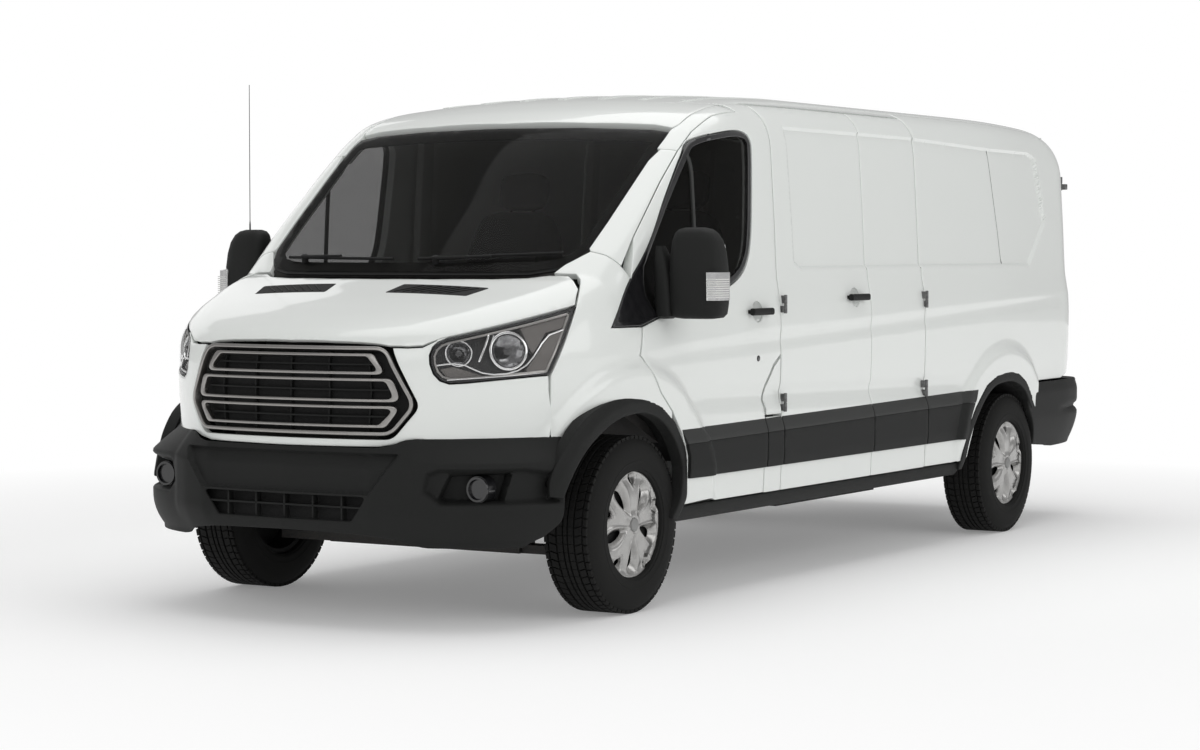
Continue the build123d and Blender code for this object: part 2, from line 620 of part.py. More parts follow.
# Front suspension: knuckle and stub axle turn about an upright line beside the tyre
knuckle_top = 560
left_knuckle = joined(upright(kingpin_x, 0, 250, knuckle_top, 26),
                      crosswise(kingpin_x, front_track / 2 + 57, 0, tyre_radius, spindle_radius))
left_knuckle = left_knuckle + crosswise(kingpin_x + 20, front_track / 2 + 33.7, 0, tyre_radius, 68)
arms = []
for side in (-1, 1):
    arms.append(box(sorted((side * 450, side * (kingpin_x + 26))), (-40, 40), (215, 250 - seat_gap)))
    arms.append(upright(side * kingpin_x, 0, knuckle_top + seat_gap, 930, 22))
    arms.append(box(sorted((side * 395, side * 445)), (-60, 60), (300, rail_section[0])))
front_suspension = joined(box((-470, 470), (-60, 60), (215, 300)), *arms)

# Rear axle on leaf springs
axle_end = rear_track / 2 + 57
rear_axle = joined(crosswise(-axle_end, axle_end, wheelbase, tyre_radius, spindle_radius),
                   crosswise(-650, 650, wheelbase, tyre_radius, 48),
                   crosswise(-90, 90, wheelbase, tyre_radius, 140))
for side in (-1, 1):
    flange_ends = sorted((side * 650, side * (rear_track / 2 + 33.7)))
    rear_axle = rear_axle + crosswise(*flange_ends, wheelbase, tyre_radius, 68)
    low, high = sorted((side * 460, side * 530))
    spring = side_prism([(wheelbase - 720, 400), (wheelbase, 395), (wheelbase + 720, 400), (wheelbase + 720, 430),
                         (wheelbase, 425), (wheelbase - 720, 430)], low, high)
    eye_ends = sorted((side * (rail_x[1] + seat_gap), side * 530))
    eyes = [box(eye_ends, (wheelbase + y - 25, wheelbase + y + 25), (400, 560))
            for y in (-700, 700)]
    rear_axle = joined(rear_axle, spring, *eyes)
propshaft = Pos(0, at((100 + wheelbase - 150.3) / 2), tyre_radius + 60) * Rot(90, 0, 0) * Cylinder(
    38, wheelbase - 250.3)
gearbox = box((-150, 150), (-60, 99.7), (330, rail_section[0] + 60))

# Tank, exhaust and spare wheel hang from the rails
fuel_tank = box((rail_x[1] + 1, 820), (1500, 2500), (300, floor_top - floor_thickness - 1))
fuel_tank = fuel_tank - box((rail_x[1] - 5, rail_x[1] + 1), (1500, 2500), (300, 600))
tank_strap = box((rail_x[1] + seat_gap, rail_x[1] + 5), (1600, 1700), (480, 590))
fuel_tank = joined(fuel_tank, tank_strap)
exhaust = Pos(-250, at(1900), 380) * Rot(90, 0, 0) * Cylinder(32, 3400)
exhaust = exhaust + box((-350, -150), (2300, 2900), (320, 440))
for y in (1430, 3030):
    exhaust = exhaust + box((-265, -235), (y - 10, y + 10), (380, rail_section[0] + 10 - seat_gap))
spare_wheel = spare_wheel + box((-25, 25), (4155, 4205), (330, rail_section[0] + 10 - seat_gap))

# Seats
def seat(x, width):
    """Seat on its plinth, with back and head restraint."""
    plinth = box((x - width / 2 + 40, x + width / 2 - 40), (820, 1200), (floor_top, 900))
    cushion = box((x - width / 2, x + width / 2), (740, 1230), (890, 1010))
    back = side_prism([(1120, 1000), (1230, 990), (1390, 1600), (1310, 1620)], x - width / 2, x + width / 2)
    restraint = side_prism([(1310, 1600), (1395, 1600), (1420, 1790), (1350, 1790)], x - 130, x + 130)
    return joined(plinth, cushion, back, restraint)


driver_seat = seat(wheel_centre[0], 500)
passenger_seat = seat(-wheel_centre[0], 500)

# Arch liners
def liner(y, half_length, x_low, x_high, z_low):
    shell = ellipse_cut(y, half_length, x_low, x_high)
    inner = Plane(origin=(x_low + 8, at(y), tyre_radius), x_dir=(0, 1, 0), z_dir=(1, 0, 0)) * Ellipse(
        half_length - 8, arch_height - 8)
    shell = shell - extrude(inner, x_high - x_low)
    return shell & box((x_low, x_high), (y - half_length - 10, y + half_length + 10), (z_low, 2000))


rear_liner = liner(rear_arch_y, rear_arch_half - seat_gap, 690 + seat_gap, half_width - wall - 3, floor_top + 1)
front_liner = liner(front_arch_y, front_arch_half - seat_gap, tower_x[1] + seat_gap, 760, 705)
front_liner = (front_liner & box((0, far), (-500, 80), (0, 2000))) - upright(kingpin_x, 0, 600, 900, 30)

# Lamps at the rear corners
tail_lamp = (outer - body_solid(20)) & front_prism(
    inset(tail_outline, seat_gap), rear_face - 173 + seat_gap, rear_face + 50)

parts = {
    "left_body_side": left_body_side,
    "right_body_side": right_body_side,
    "roof_panel": roof_panel,
    "front_wings": joined(left_wing, mirrored(left_wing)),
    "front_panel": front_panel,
    "grille": grille_panel,
    "headlamps": joined(headlamp, mirrored(headlamp)),
    "tail_lamps": joined(tail_lamp, mirrored(tail_lamp)),
    "windscreen": windscreen,
    "front_bumper": front_bumper,
    "rear_bumper": rear_bumper,
    "rear_sill": rear_sill,
    "floor_pan": floor_pan,
    "firewall": firewall,
    "dashboard": dashboard,
    "chassis_rails": chassis_rails,
    "engine_block": engine_block,
    "gearbox": gearbox,
    "radiator": radiator,
    "front_suspension": front_suspension,
    "rear_axle": rear_axle,
    "propshaft": propshaft,
    "exhaust": exhaust,
    "fuel_tank": fuel_tank,
    "spare_wheel": spare_wheel,
    "arch_liners": joined(rear_liner, mirrored(rear_liner), front_liner, mirrored(front_liner)),
    "driver_seat": driver_seat,
    "passenger_seat": passenger_seat,
    "steering_wheel": steering_wheel,
    "bonnet": bonnet,
    "left_front_door": left_front_door,
    "right_front_door": mirrored(left_front_door),
    "left_door_glass": left_door_glass,
    "right_door_glass": mirrored(left_door_glass),
    "left_mirror": left_mirror,
    "right_mirror": right_mirror,
    "antenna": antenna,
    "side_door_front_leaf": side_door_front_leaf,
    "side_door_rear_leaf": side_door_rear_leaf,
    "rear_door_left": rear_door_left,
    "rear_door_right": rear_door_right,
    "fuel_flap": fuel_flap,
    "left_knuckle": left_knuckle,
    "right_knuckle": mirrored(left_knuckle),
    "front_left_tyre": front_tyre,
    "front_left_rim": front_rim,
    "front_right_tyre": mirrored(front_tyre),
    "front_right_rim": mirrored(front_rim),
    "rear_left_tyre": rear_tyre,
    "rear_left_rim": rear_rim,
    "rear_right_tyre": mirrored(rear_tyre),
    "rear_right_rim": mirrored(rear_rim),
}

os.makedirs("parts", exist_ok=True)
for name, shape in parts.items():
    export_step(shape, f"parts/{name}.step")
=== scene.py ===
import math

import bpy
import numpy as np
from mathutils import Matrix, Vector
from mathutils.geometry import delaunay_2d_cdt


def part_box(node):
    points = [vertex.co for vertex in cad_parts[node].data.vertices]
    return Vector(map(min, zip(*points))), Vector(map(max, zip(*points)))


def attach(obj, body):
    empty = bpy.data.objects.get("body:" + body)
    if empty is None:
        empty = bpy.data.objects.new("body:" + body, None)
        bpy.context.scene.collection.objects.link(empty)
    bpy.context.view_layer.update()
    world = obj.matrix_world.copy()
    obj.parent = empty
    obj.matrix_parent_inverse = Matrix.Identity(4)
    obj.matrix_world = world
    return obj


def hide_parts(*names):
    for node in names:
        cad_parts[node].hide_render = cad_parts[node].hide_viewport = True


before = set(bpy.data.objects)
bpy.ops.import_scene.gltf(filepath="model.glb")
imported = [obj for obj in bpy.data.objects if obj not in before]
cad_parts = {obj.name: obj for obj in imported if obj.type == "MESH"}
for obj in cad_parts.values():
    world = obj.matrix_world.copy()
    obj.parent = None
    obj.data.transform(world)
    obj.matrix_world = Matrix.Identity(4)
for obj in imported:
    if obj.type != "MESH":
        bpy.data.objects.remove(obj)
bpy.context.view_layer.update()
print("frame loaded")

# Places along the van count from the front axle, in metres, +Y to the rear; axleY moves them into the frame.
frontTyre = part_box("front_left_tyre")
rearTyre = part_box("rear_left_tyre")
axleY = (frontTyre[0].y + frontTyre[1].y) / 2
wheelbase = (rearTyre[0].y + rearTyre[1].y) / 2 - axleY
tyreRadius = (frontTyre[1].z - frontTyre[0].z) / 2
rearFace = 1.060 + wheelbase
bLine, mLine, rLine = 1.192, 2.089, 2.679      # front door | side door leaves | rear quarter
railTop = 2.062                                # doors and sides end here, the roof begins
gapHalf = 0.0028                               # half the visible gap between panels
weldHalf, roofHalfGap = 0.0012, 0.0015         # the same for the closed seams
panel = dict(thick=0.05, step=0.016, leafThick=0.045,
             leafStep=0.014)        # step sets how fine the faces are


# body shape
def curve(points):
    # monotone cubic through the points, straight beyond its ends
    xs = np.array([p[0] for p in points], float)
    ys = np.array([p[1] for p in points], float)
    h = np.diff(xs)
    d = np.diff(ys) / h
    m = np.empty(len(xs))
    m[0], m[-1] = d[0], d[-1]
    for i in range(1, len(xs) - 1):
        if d[i - 1] * d[i] <= 0:
            m[i] = 0
        else:
            w1, w2 = 2 * h[i] + h[i - 1], h[i] + 2 * h[i - 1]
            m[i] = (w1 + w2) / (w1 / d[i - 1] + w2 / d[i])

    def value(x):
        x = np.asarray(x, float)
        i = np.clip(np.searchsorted(xs, x) - 1, 0, len(h) - 1)
        t = (x - xs[i]) / h[i]
        tc = np.clip(t, 0, 1)
        a = ys[i] * (1 + 2 * tc) * (1 - tc) ** 2 + ys[i + 1] * tc * tc * (3 - 2 * tc)
        a = a + h[i] * (m[i] * tc * (1 - tc) ** 2 - m[i + 1] * tc * tc * (1 - tc))
        return a + np.where(t < 0, (t * h[i]) * m[i], 0) + np.where(t > 1, (t - 1) * h[i] * m[i + 1], 0)
    return value


def smooth(x, low, high):
    t = np.clip((x - low) / (high - low), 0, 1)
    return t * t * (3 - 2 * t)


def softMax(a, b, k):
    # the larger of two, blended over k
    h = np.maximum(k - np.abs(a - b), 0) / k
    return np.maximum(a, b) + h * h * k * 0.25


body = dict(
    bow=0.25,                # how fast nose and windscreen fall back from the centre
    crown=0.06,              # roof crown
    noseY=-0.968,
    grooveDepth=0.0042,
    recessDepth=0.0125,
    grooveHalf=0.030,
    ledgeStep=0.014,
    ledgeHollow=0.006,
    archFlare=0.026,
)
bonnetLine = curve([(-1.10, 0.96), (-0.965, 1.066), (-0.93, 1.108), (-0.86, 1.152), (-0.70, 1.214),
                    (-0.50, 1.276), (-0.285, 1.338), (0.05, 1.395), (0.5, 1.46), (6.0, 1.47)])
screenLine = curve([(-0.285, 1.343), (0.10, 1.642), (0.525, 1.957), (0.70, 2.034), (0.95, 2.088),
                    (1.30, 2.121), (1.80, 2.135), (wheelbase - 0.1, 2.135), (rearFace - 0.38, 2.116),
                    (rearFace - 0.16, 2.064), (rearFace - 0.04, 1.96), (rearFace + 0.01, 1.80)])
sideLine = curve([(0.20, 0.955), (0.34, 0.982), (0.56, 0.991), (0.72, 0.992), (0.79, 0.994), (0.86, 1.0),
                  (0.95, 1.003), (1.10, 1.004), (1.19, 1.001), (1.25, 0.992), (1.32, 0.981), (1.40, 0.976),
                  (1.55, 0.969), (1.70, 0.960), (1.85, 0.951), (2.0, 0.939), (2.05, 0.930), (2.09, 0.912),
                  (2.2, 0.85)])
lowPlan = curve([(-1.05, 0.30), (-0.985, 0.42), (-0.904, 0.532), (-0.804, 0.640), (-0.66, 0.782),
                 (-0.50, 0.893), (-0.35, 0.947), (-0.21, 0.974), (0.11, 0.999), (0.90, 1.003),
                 (wheelbase - 0.25, 1.003), (wheelbase + 0.6, 0.975), (rearFace, 0.955)])
highPlan = curve([(-1.05, 0.33), (-0.85, 0.53), (-0.60, 0.70), (-0.45, 0.79), (-0.275, 0.872),
                  (-0.023, 0.917), (0.107, 0.929), (0.36, 0.937), (0.60, 0.950), (0.90, 0.971),
                  (1.15, 0.978), (wheelbase - 0.25, 0.978), (wheelbase + 0.6, 0.950), (rearFace, 0.930)])
frontArch = dict(y=-0.025, half=0.425, height=0.435)
rearArch = dict(y=wheelbase - 0.09, half=0.475, height=0.435)
recess = [(1.342, 1.966), (2.616, 1.966), (3.565, 1.942), (4.121, 1.940), (4.212, 1.916), (4.322, 1.583),
          (4.059, 1.358), (2.776, 1.356), (1.428, 1.352), (1.365, 1.382)]


def insideDepth(outline, a, b):
    # signed distance to a closed outline, above 0 inside
    n = len(outline)
    best = np.full(np.shape(a), 1e9)
    inside = np.zeros(np.shape(a), bool)
    for i in range(n):
        (x0, y0), (x1, y1) = outline[i], outline[(i + 1) % n]
        dx, dy = x1 - x0, y1 - y0
        t = np.clip(((a - x0) * dx + (b - y0) * dy) / (dx * dx + dy * dy), 0, 1)
        best = np.minimum(best, np.hypot(a - x0 - t * dx, b - y0 - t * dy))
        if dy != 0:
            cross = (y0 > b) != (y1 > b)
            inside ^= cross & (a < (b - y0) * dx / dy + x0)
    return np.where(inside, best, -best)


def archRing(arch, y, z):
    # about how far outside the wheel arch a place lies
    ry, rz = arch["half"], arch["height"]
    q = np.hypot((y - arch["y"]) / ry, (z - tyreRadius) / rz)
    return (q - 1) * (ry + rz) / 2


def sideRelief(y, z):
    # how far groove, window recess, low ledge and arches stand out from the plain side
    grooveZ = 1.052 + (y - bLine) * 0.038
    groove = np.exp(-(((z - grooveZ) / body["grooveHalf"]) ** 4)) * smooth(y, -0.05, 0.5)
    groove = groove * (1 - smooth(y, rearFace - 0.35, rearFace - 0.2))
    out = -body["grooveDepth"] * groove
    out = out - body["recessDepth"] * smooth(insideDepth(recess, y, z), -0.002, 0.011)
    ledgeZ = 0.80 - (y - bLine) * 0.02
    ledge = smooth(y, 0.25, 0.6) * (1 - smooth(y, wheelbase - 0.75, wheelbase - 0.55))
    step = body["ledgeStep"] * smooth(ledgeZ - z, 0.0, 0.05)
    hollow = body["ledgeHollow"] * np.exp(-(((z - ledgeZ - 0.025) / 0.025) ** 2))
    out = out + ledge * (step - hollow)
    for arch, reach in ((frontArch, 0.215), (rearArch, 0.19)):
        ring = archRing(arch, y, z)
        rise = body["archFlare"] * (1 - smooth(ring, reach - 0.055, reach + 0.005))
        out = out + rise * smooth(z, 0.25, 0.55)
    return out


def halfWidth(y, z):
    # half the body's width, without the relief
    up = smooth(z, 1.02, 1.32)
    low = 1.003 - lowPlan(y)
    high = 0.978 - highPlan(y)
    cornerY = rearFace - 0.27
    corner = np.clip((y - cornerY) / 0.275, 0, 1)
    rear = 0.19 * (1 - np.sqrt(np.maximum(1 - corner ** 2, 0)))
    rear = rear + np.maximum(y - cornerY - 0.275, 0) * 30
    return sideLine(z) - (1 - up) * low - up * high - rear


def outside(x, y, z, side=0.0):
    # below 0 inside the body, above 0 outside; side is how far the body side stands out
    ax = np.abs(x)
    e = 0.004
    w = halfWidth(y, z) + side
    slope = (halfWidth(y + e, z) - halfWidth(y - e, z)) / (2 * e)
    fSide = (ax - w - sideRelief(y, z)) / np.sqrt(1 + np.minimum(slope, 6) ** 2)
    share = np.clip(1 - 0.25 * smooth(y, -0.28, 0.52) - 0.75 * smooth(y, 0.45, 1.25), 0, 1)
    yc = y - share * body["bow"] * ax * ax
    crown = body["crown"] * smooth(y, 0.2, 1.1) * ax * ax
    topA, topB = bonnetLine(yc), screenLine(yc)
    fBonnet = (z - topA) / 1.12
    fScreen = (z - topB + crown) / np.where(y < 0.7, 1.22, 1.0)
    fTop = np.minimum(fBonnet, fScreen)
    fFront = -(yc - body["noseY"] - 0.012 * (z - 0.9)) / 1.05
    k = 0.10 + 0.10 * smooth(y, 0.7, 1.2)
    rear = y - rearFace
    f = softMax(fTop, fFront, 0.07)
    f = softMax(f, fSide, k)
    return softMax(f, rear, 0.05)


def solve(origin, way, reach):
    # walks each ray inwards from outside the body and stops on its surface
    o, d = np.asarray(origin, float), np.asarray(way, float)
    steps = np.linspace(0, reach, int(reach / 0.03) + 2)
    start = np.full(len(o), reach)
    stillOpen = np.ones(len(o), bool)
    for i, s in enumerate(steps[1:]):
        p = o[stillOpen] + d[stillOpen] * s
        hit = outside(p[:, 0], p[:, 1], p[:, 2]) < 0
        index = np.flatnonzero(stillOpen)[hit]
        start[index] = steps[i]
        stillOpen[index] = False
        if not stillOpen.any():
            break
    lo, hi = start.copy(), start + steps[1]
    for _ in range(16):
        mid = (lo + hi) / 2
        p = o + d * mid[:, None]
        inside = outside(p[:, 0], p[:, 1], p[:, 2]) < 0
        hi = np.where(inside, mid, hi)
        lo = np.where(inside, lo, mid)
    return o + d * ((lo + hi) / 2)[:, None]


def surfaceNormals(p):
    e = 0.0015
    g = []
    for axis in range(3):
        q, r = p.copy(), p.copy()
        q[:, axis] += e
        r[:, axis] -= e
        g.append(outside(q[:, 0], q[:, 1], q[:, 2]) - outside(r[:, 0], r[:, 1], r[:, 2]))
    n = np.column_stack(g)
    return n / np.maximum(np.linalg.norm(n, axis=1), 1e-12)[:, None]


class Lay:
    # a flat drawing plane, and the way in which it is laid on the body
    def __init__(self, way, a=None, away=2.0):
        self.way = np.array(way, float) / np.linalg.norm(way)
        across = np.cross([0, 0, 1.0], self.way) if a is None else np.array(a, float)
        self.a = across / np.linalg.norm(across)
        self.b = np.cross(self.way, self.a)
        if self.b[2] < 0 or (abs(self.b[2]) < 1e-9 and self.b[1] < 0):
            self.b = -self.b
        self.away = away

    def on(self, ab):
        ab = np.asarray(ab, float).reshape(-1, 2)
        o = ab[:, :1] * self.a + ab[:, 1:] * self.b - self.away * self.way
        return solve(o, np.tile(self.way, (len(o), 1)), self.away + 1.2)

    def flat(self, points):
        p = np.asarray(points, float).reshape(-1, 3)
        return [(float(u), float(v)) for u, v in zip(p @ self.a, p @ self.b)]


sideLay = Lay((-1, 0, 0), (0, 1, 0), 1.3)
topLay = Lay((0, 0, -1), (1, 0, 0), 2.3)
frontLay = Lay((0, 1, 0), (1, 0, 0), 1.3)
rearLay = Lay((0, -1, 0), (1, 0, 0), 5.2)
bonnetLay = Lay((0, 0.55, -0.83), (1, 0, 0), 2.3)
lampLay = Lay((-1, 1, 0), (1, 1, 0), 1.3)
pillarLay = Lay((-0.64, 0.60, -0.48), None, 2.2)
railLay = Lay((-0.75, 0, -0.66), (0, 1, 0), 2.6)
quarterLay = Lay((-0.66, -0.60, -0.42), None, 5.2)


def along(points, lay, step=0.04):
    # polyline given in one drawing plane, as places on the body
    out = []
    for p, q in zip(points, points[1:]):
        n = max(1, int(math.dist(p, q) / step))
        out += [(p[0] + (q[0] - p[0]) * i / n, p[1] + (q[1] - p[1]) * i / n) for i in range(n)]
    return lay.on(out + [points[-1]])


# panels
def rounded(outline, radii, pieces=5):
    # outline with its corners rounded; radii is one number or one for each corner
    n = len(outline)
    radii = [radii] * n if isinstance(radii, (int, float)) else radii
    out = []
    for i in range(n):
        p, a, b = (np.array(outline[j % n], float) for j in (i, i - 1, i + 1))
        da, db = a - p, b - p
        la, lb = np.linalg.norm(da), np.linalg.norm(db)
        half = math.acos(np.clip(np.dot(da, db) / (la * lb), -1, 1)) / 2
        if radii[i] <= 0 or half > 1.55:
            out.append(tuple(p))
            continue
        cut = min(radii[i] / math.tan(half), 0.45 * la, 0.45 * lb)
        start, end = p + da / la * cut, p + db / lb * cut
        for j in range(pieces + 1):
            t = j / pieces
            out.append(tuple((1 - t) ** 2 * start + 2 * t * (1 - t) * p + t * t * end))
    return out


def area2(outline):
    return sum(a[0] * b[1] - b[0] * a[1] for a, b in zip(outline, outline[1:] + outline[:1]))


def inset(outline, amount):
    # closed outline moved inwards, or outwards for a negative amount
    turn = 1 if area2(outline) > 0 else -1
    pts = [np.array(p, float) for i, p in enumerate(outline) if math.dist(p, outline[i - 1]) > 1e-6]
    out = []
    for i, p in enumerate(pts):
        d1, d2 = p - pts[i - 1], pts[(i + 1) % len(pts)] - p
        d1, d2 = d1 / np.linalg.norm(d1), d2 / np.linalg.norm(d2)
        n1, n2 = np.array([-d1[1], d1[0]]) * turn, np.array([-d2[1], d2[0]]) * turn
        out.append(tuple(p + (n1 + n2) / max(1 + np.dot(n1, n2), 0.35) * amount))
    return out


def circle(a, b, radius, count=40):
    return [(a + radius * math.cos(2 * math.pi * i / count), b + radius * math.sin(2 * math.pi * i / count))
            for i in range(count)]


def smoothRun(points, step=0.03):
    # open run of points redrawn with even rounding
    p = np.array(points, float)
    u = np.concatenate([[0], np.cumsum(np.hypot(*np.diff(p, axis=0).T))])
    a, b = curve(list(zip(u, p[:, 0]))), curve(list(zip(u, p[:, 1])))
    s = np.linspace(0, u[-1], max(4, int(u[-1] / step)))
    return list(zip(a(s).tolist(), b(s).tolist()))


def spaced(outline, step):
    # closed outline with points set evenly along it
    out = []
    for i, p in enumerate(outline):
        q = outline[(i + 1) % len(outline)]
        n = max(1, int(round(math.dist(p, q) / step)))
        out += [(p[0] + (q[0] - p[0]) * j / n, p[1] + (q[1] - p[1]) * j / n) for j in range(n)]
    clean = [out[0]]
    for p in out[1:]:
        if math.dist(p, clean[-1]) > step * 0.1:
            clean.append(p)
    return clean


def triangles(loops, step, lines=()):
    # flat triangles inside the first loop and outside the others, and the points of each loop;
    # lines are places where the shape bends, so points are set along them
    a = np.array(loops[0])
    lo, hi = a.min(0), a.max(0)
    rows = np.arange(lo[1] + step / 2, hi[1], step * 0.88)
    grid = np.array([(x + (step / 2 if j % 2 else 0), y) for j, y in enumerate(rows)
                     for x in np.arange(lo[0] + step / 3, hi[0], step)]).reshape(-1, 2)
    keep = insideDepth(loops[0], grid[:, 0], grid[:, 1]) > step * 0.55
    for hole in loops[1:]:
        keep &= insideDepth(hole, grid[:, 0], grid[:, 1]) < -step * 0.55
    grid = grid[keep]
    if lines:
        extra = np.vstack([spaced(line, step * 0.75) for line in lines])
        inside = insideDepth(loops[0], extra[:, 0], extra[:, 1]) > step * 0.3
        for hole in loops[1:]:
            inside &= insideDepth(hole, extra[:, 0], extra[:, 1]) < -step * 0.3
        extra = extra[inside]
        if len(extra):
            near = np.array([np.hypot(*(extra - g).T).min() for g in grid])
            grid = np.vstack([grid[near > step * 0.4], extra])
    points = [Vector(p) for loop in loops for p in loop] + [Vector(p) for p in grid]
    edges, start = [], 0
    for loop in loops:
        edges += [(start + i, start + (i + 1) % len(loop)) for i in range(len(loop))]
        start += len(loop)
    made = delaunay_2d_cdt(points, edges, [], 0, 1e-6, True)
    flat = np.array([tuple(v) for v in made[0]])
    faces = np.array(made[2])
    mid = flat[faces].mean(1)
    keep = insideDepth(loops[0], mid[:, 0], mid[:, 1]) > 0
    for hole in loops[1:]:
        keep &= insideDepth(hole, mid[:, 0], mid[:, 1]) < 0
    where = {}
    for i, o in enumerate(made[3]):
        for j in o:
            where.setdefault(j, i)
    rims, start = [], 0
    for loop in loops:
        rim = [where[start + i] for i in range(len(loop)) if start + i in where]
        rims.append([v for i, v in enumerate(rim) if v != rim[i - 1]])
        start += len(loop)
    return flat, faces[keep], rims


def sheet(on, normals, loops, step, edge, thickness, push=None, lines=()):
    # closed shell with rounded edges: its outer face lies on the surface that on() gives
    loops = [spaced(inset(loop, edge if i == 0 else -edge), step) for i, loop in enumerate(loops)]
    flat, tri, rims = triangles(loops, step, lines)
    pos = on(flat)
    n = normals(pos, flat)
    if push is not None:
        pos = pos + n * push(flat)[:, None]
    v = pos[tri[:, 1]] - pos[tri[:, 0]], pos[tri[:, 2]] - pos[tri[:, 0]]
    if (np.cross(*v) * n[tri[:, 0]]).sum() < 0:
        tri = tri[:, ::-1]
    count = len(pos)
    back = pos - n * thickness
    verts, faces = [pos, back], [tuple(f) for f in tri] + [tuple(f[::-1] + count) for f in tri]
    total = 2 * count
    directed = {(f[i], f[(i + 1) % 3]) for f in tri for i in range(3)}
    for rim in rims:
        if (rim[0], rim[1]) not in directed:
            rim = rim[::-1]
        m = len(rim)
        ring, rn = pos[rim], n[rim]
        tangent = np.roll(ring, -1, 0) - np.roll(ring, 1, 0)
        out = np.cross(tangent, rn)
        out /= np.maximum(np.linalg.norm(out, axis=1), 1e-9)[:, None]
        rings = [rim]
        steps = []
        if edge > 0:
            steps = [(math.sin(t) * edge, (1 - math.cos(t)) * edge) for t in (0.6, 1.1, math.pi / 2)]
            steps.append((edge, thickness - edge * 0.3))
        for o, d in steps:
            verts.append(ring + out * o - rn * d)
            rings.append(list(range(total, total + m)))
            total += m
        rings.append([i + count for i in rim])
        for r0, r1 in zip(rings, rings[1:]):
            faces += [(r0[(i + 1) % m], r0[i], r1[i], r1[(i + 1) % m]) for i in range(m)]
    return np.vstack(verts), faces


def skin(lay, outline, thickness=0.03, step=0.016, holes=(), edge=0.003, gap=gapHalf, push=None, lines=()):
    # body panel; its outline stands back from the shared line by half a gap
    loops = [inset(outline, gap)] + [inset(hole, -gap) for hole in holes]
    return sheet(lay.on, lambda p, ab: surfaceNormals(p), loops, step, edge, thickness, push, lines)


def level(amount):
    # the same push everywhere
    return lambda ab: np.full(len(ab), float(amount))


def plate(lay, outline, thickness, step, height, edge=0.003, holes=()):
    # piece at a height over the body, with no gap at its outline
    return skin(lay, outline, thickness, step, holes, edge, 0, level(height))


def piece(name, shapes, material, ridesOn="van_body", replaced=(), placed=False, sharp=40):
    # one object from (vertices, faces) pairs
    verts, faces, total = [], [], 0
    for v, f in shapes:
        v = np.asarray(v, float)
        verts.append(v)
        faces += [tuple(int(i) + total for i in face) for face in f]
        total += len(v)
    verts = np.vstack(verts)
    if not placed:
        verts = verts + [0, axleY, 0]
    mesh = bpy.data.meshes.new(name)
    mesh.from_pydata(verts.tolist(), [], faces)
    mesh.polygons.foreach_set("use_smooth", [True] * len(mesh.polygons))
    mesh.set_sharp_from_angle(angle=math.radians(sharp))
    mesh.update()
    o = bpy.data.objects.new(name, mesh)
    bpy.context.scene.collection.objects.link(o)
    o.data.materials.append(material)
    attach(o, ridesOn)
    if replaced:
        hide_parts(*replaced)
    return o


def flipped(shapes):
    # the same shapes on the other side of the van
    return [(np.asarray(v, float) * [-1, 1, 1], [tuple(f)[::-1] for f in faces]) for v, faces in shapes]


def pair(name, shapes, material, bodies=("van_body", "van_body"), replaced=((), ()), sharp=40):
    # the same piece on the left and on the right
    left = piece("left" + name, shapes, material, bodies[0], replaced[0], sharp=sharp)
    right = piece("right" + name, flipped(shapes), material, bodies[1], replaced[1], sharp=sharp)
    return left, right


# materials
def grainGroup():
    # fine grain: a mask and a bumped normal, from the piece's own coordinates
    group = bpy.data.node_groups.new("fineGrain", "ShaderNodeTree")
    for name, value in (("Scale", 60.0), ("Height", 0.1), ("Detail", 3.0)):
        socket = group.interface.new_socket(name=name, in_out="INPUT", socket_type="NodeSocketFloat")
        socket.default_value = value
    group.interface.new_socket(name="Mask", in_out="OUTPUT", socket_type="NodeSocketFloat")
    group.interface.new_socket(name="Normal", in_out="OUTPUT", socket_type="NodeSocketVector")
    n, l = group.nodes, group.links
    gin, gout = n.new("NodeGroupInput"), n.new("NodeGroupOutput")
    where = n.new("ShaderNodeTexCoord")
    noise, bump = n.new("ShaderNodeTexNoise"), n.new("ShaderNodeBump")
    l.new(where.outputs["Object"], noise.inputs["Vector"])
    l.new(gin.outputs["Scale"], noise.inputs["Scale"])
    l.new(gin.outputs["Detail"], noise.inputs["Detail"])
    l.new(noise.outputs["Fac"], bump.inputs["Height"])
    l.new(gin.outputs["Height"], bump.inputs["Strength"])
    bump.inputs["Distance"].default_value = 0.002
    l.new(noise.outputs["Fac"], gout.inputs["Mask"])
    l.new(bump.outputs[0], gout.inputs["Normal"])
    return group


grain = grainGroup()


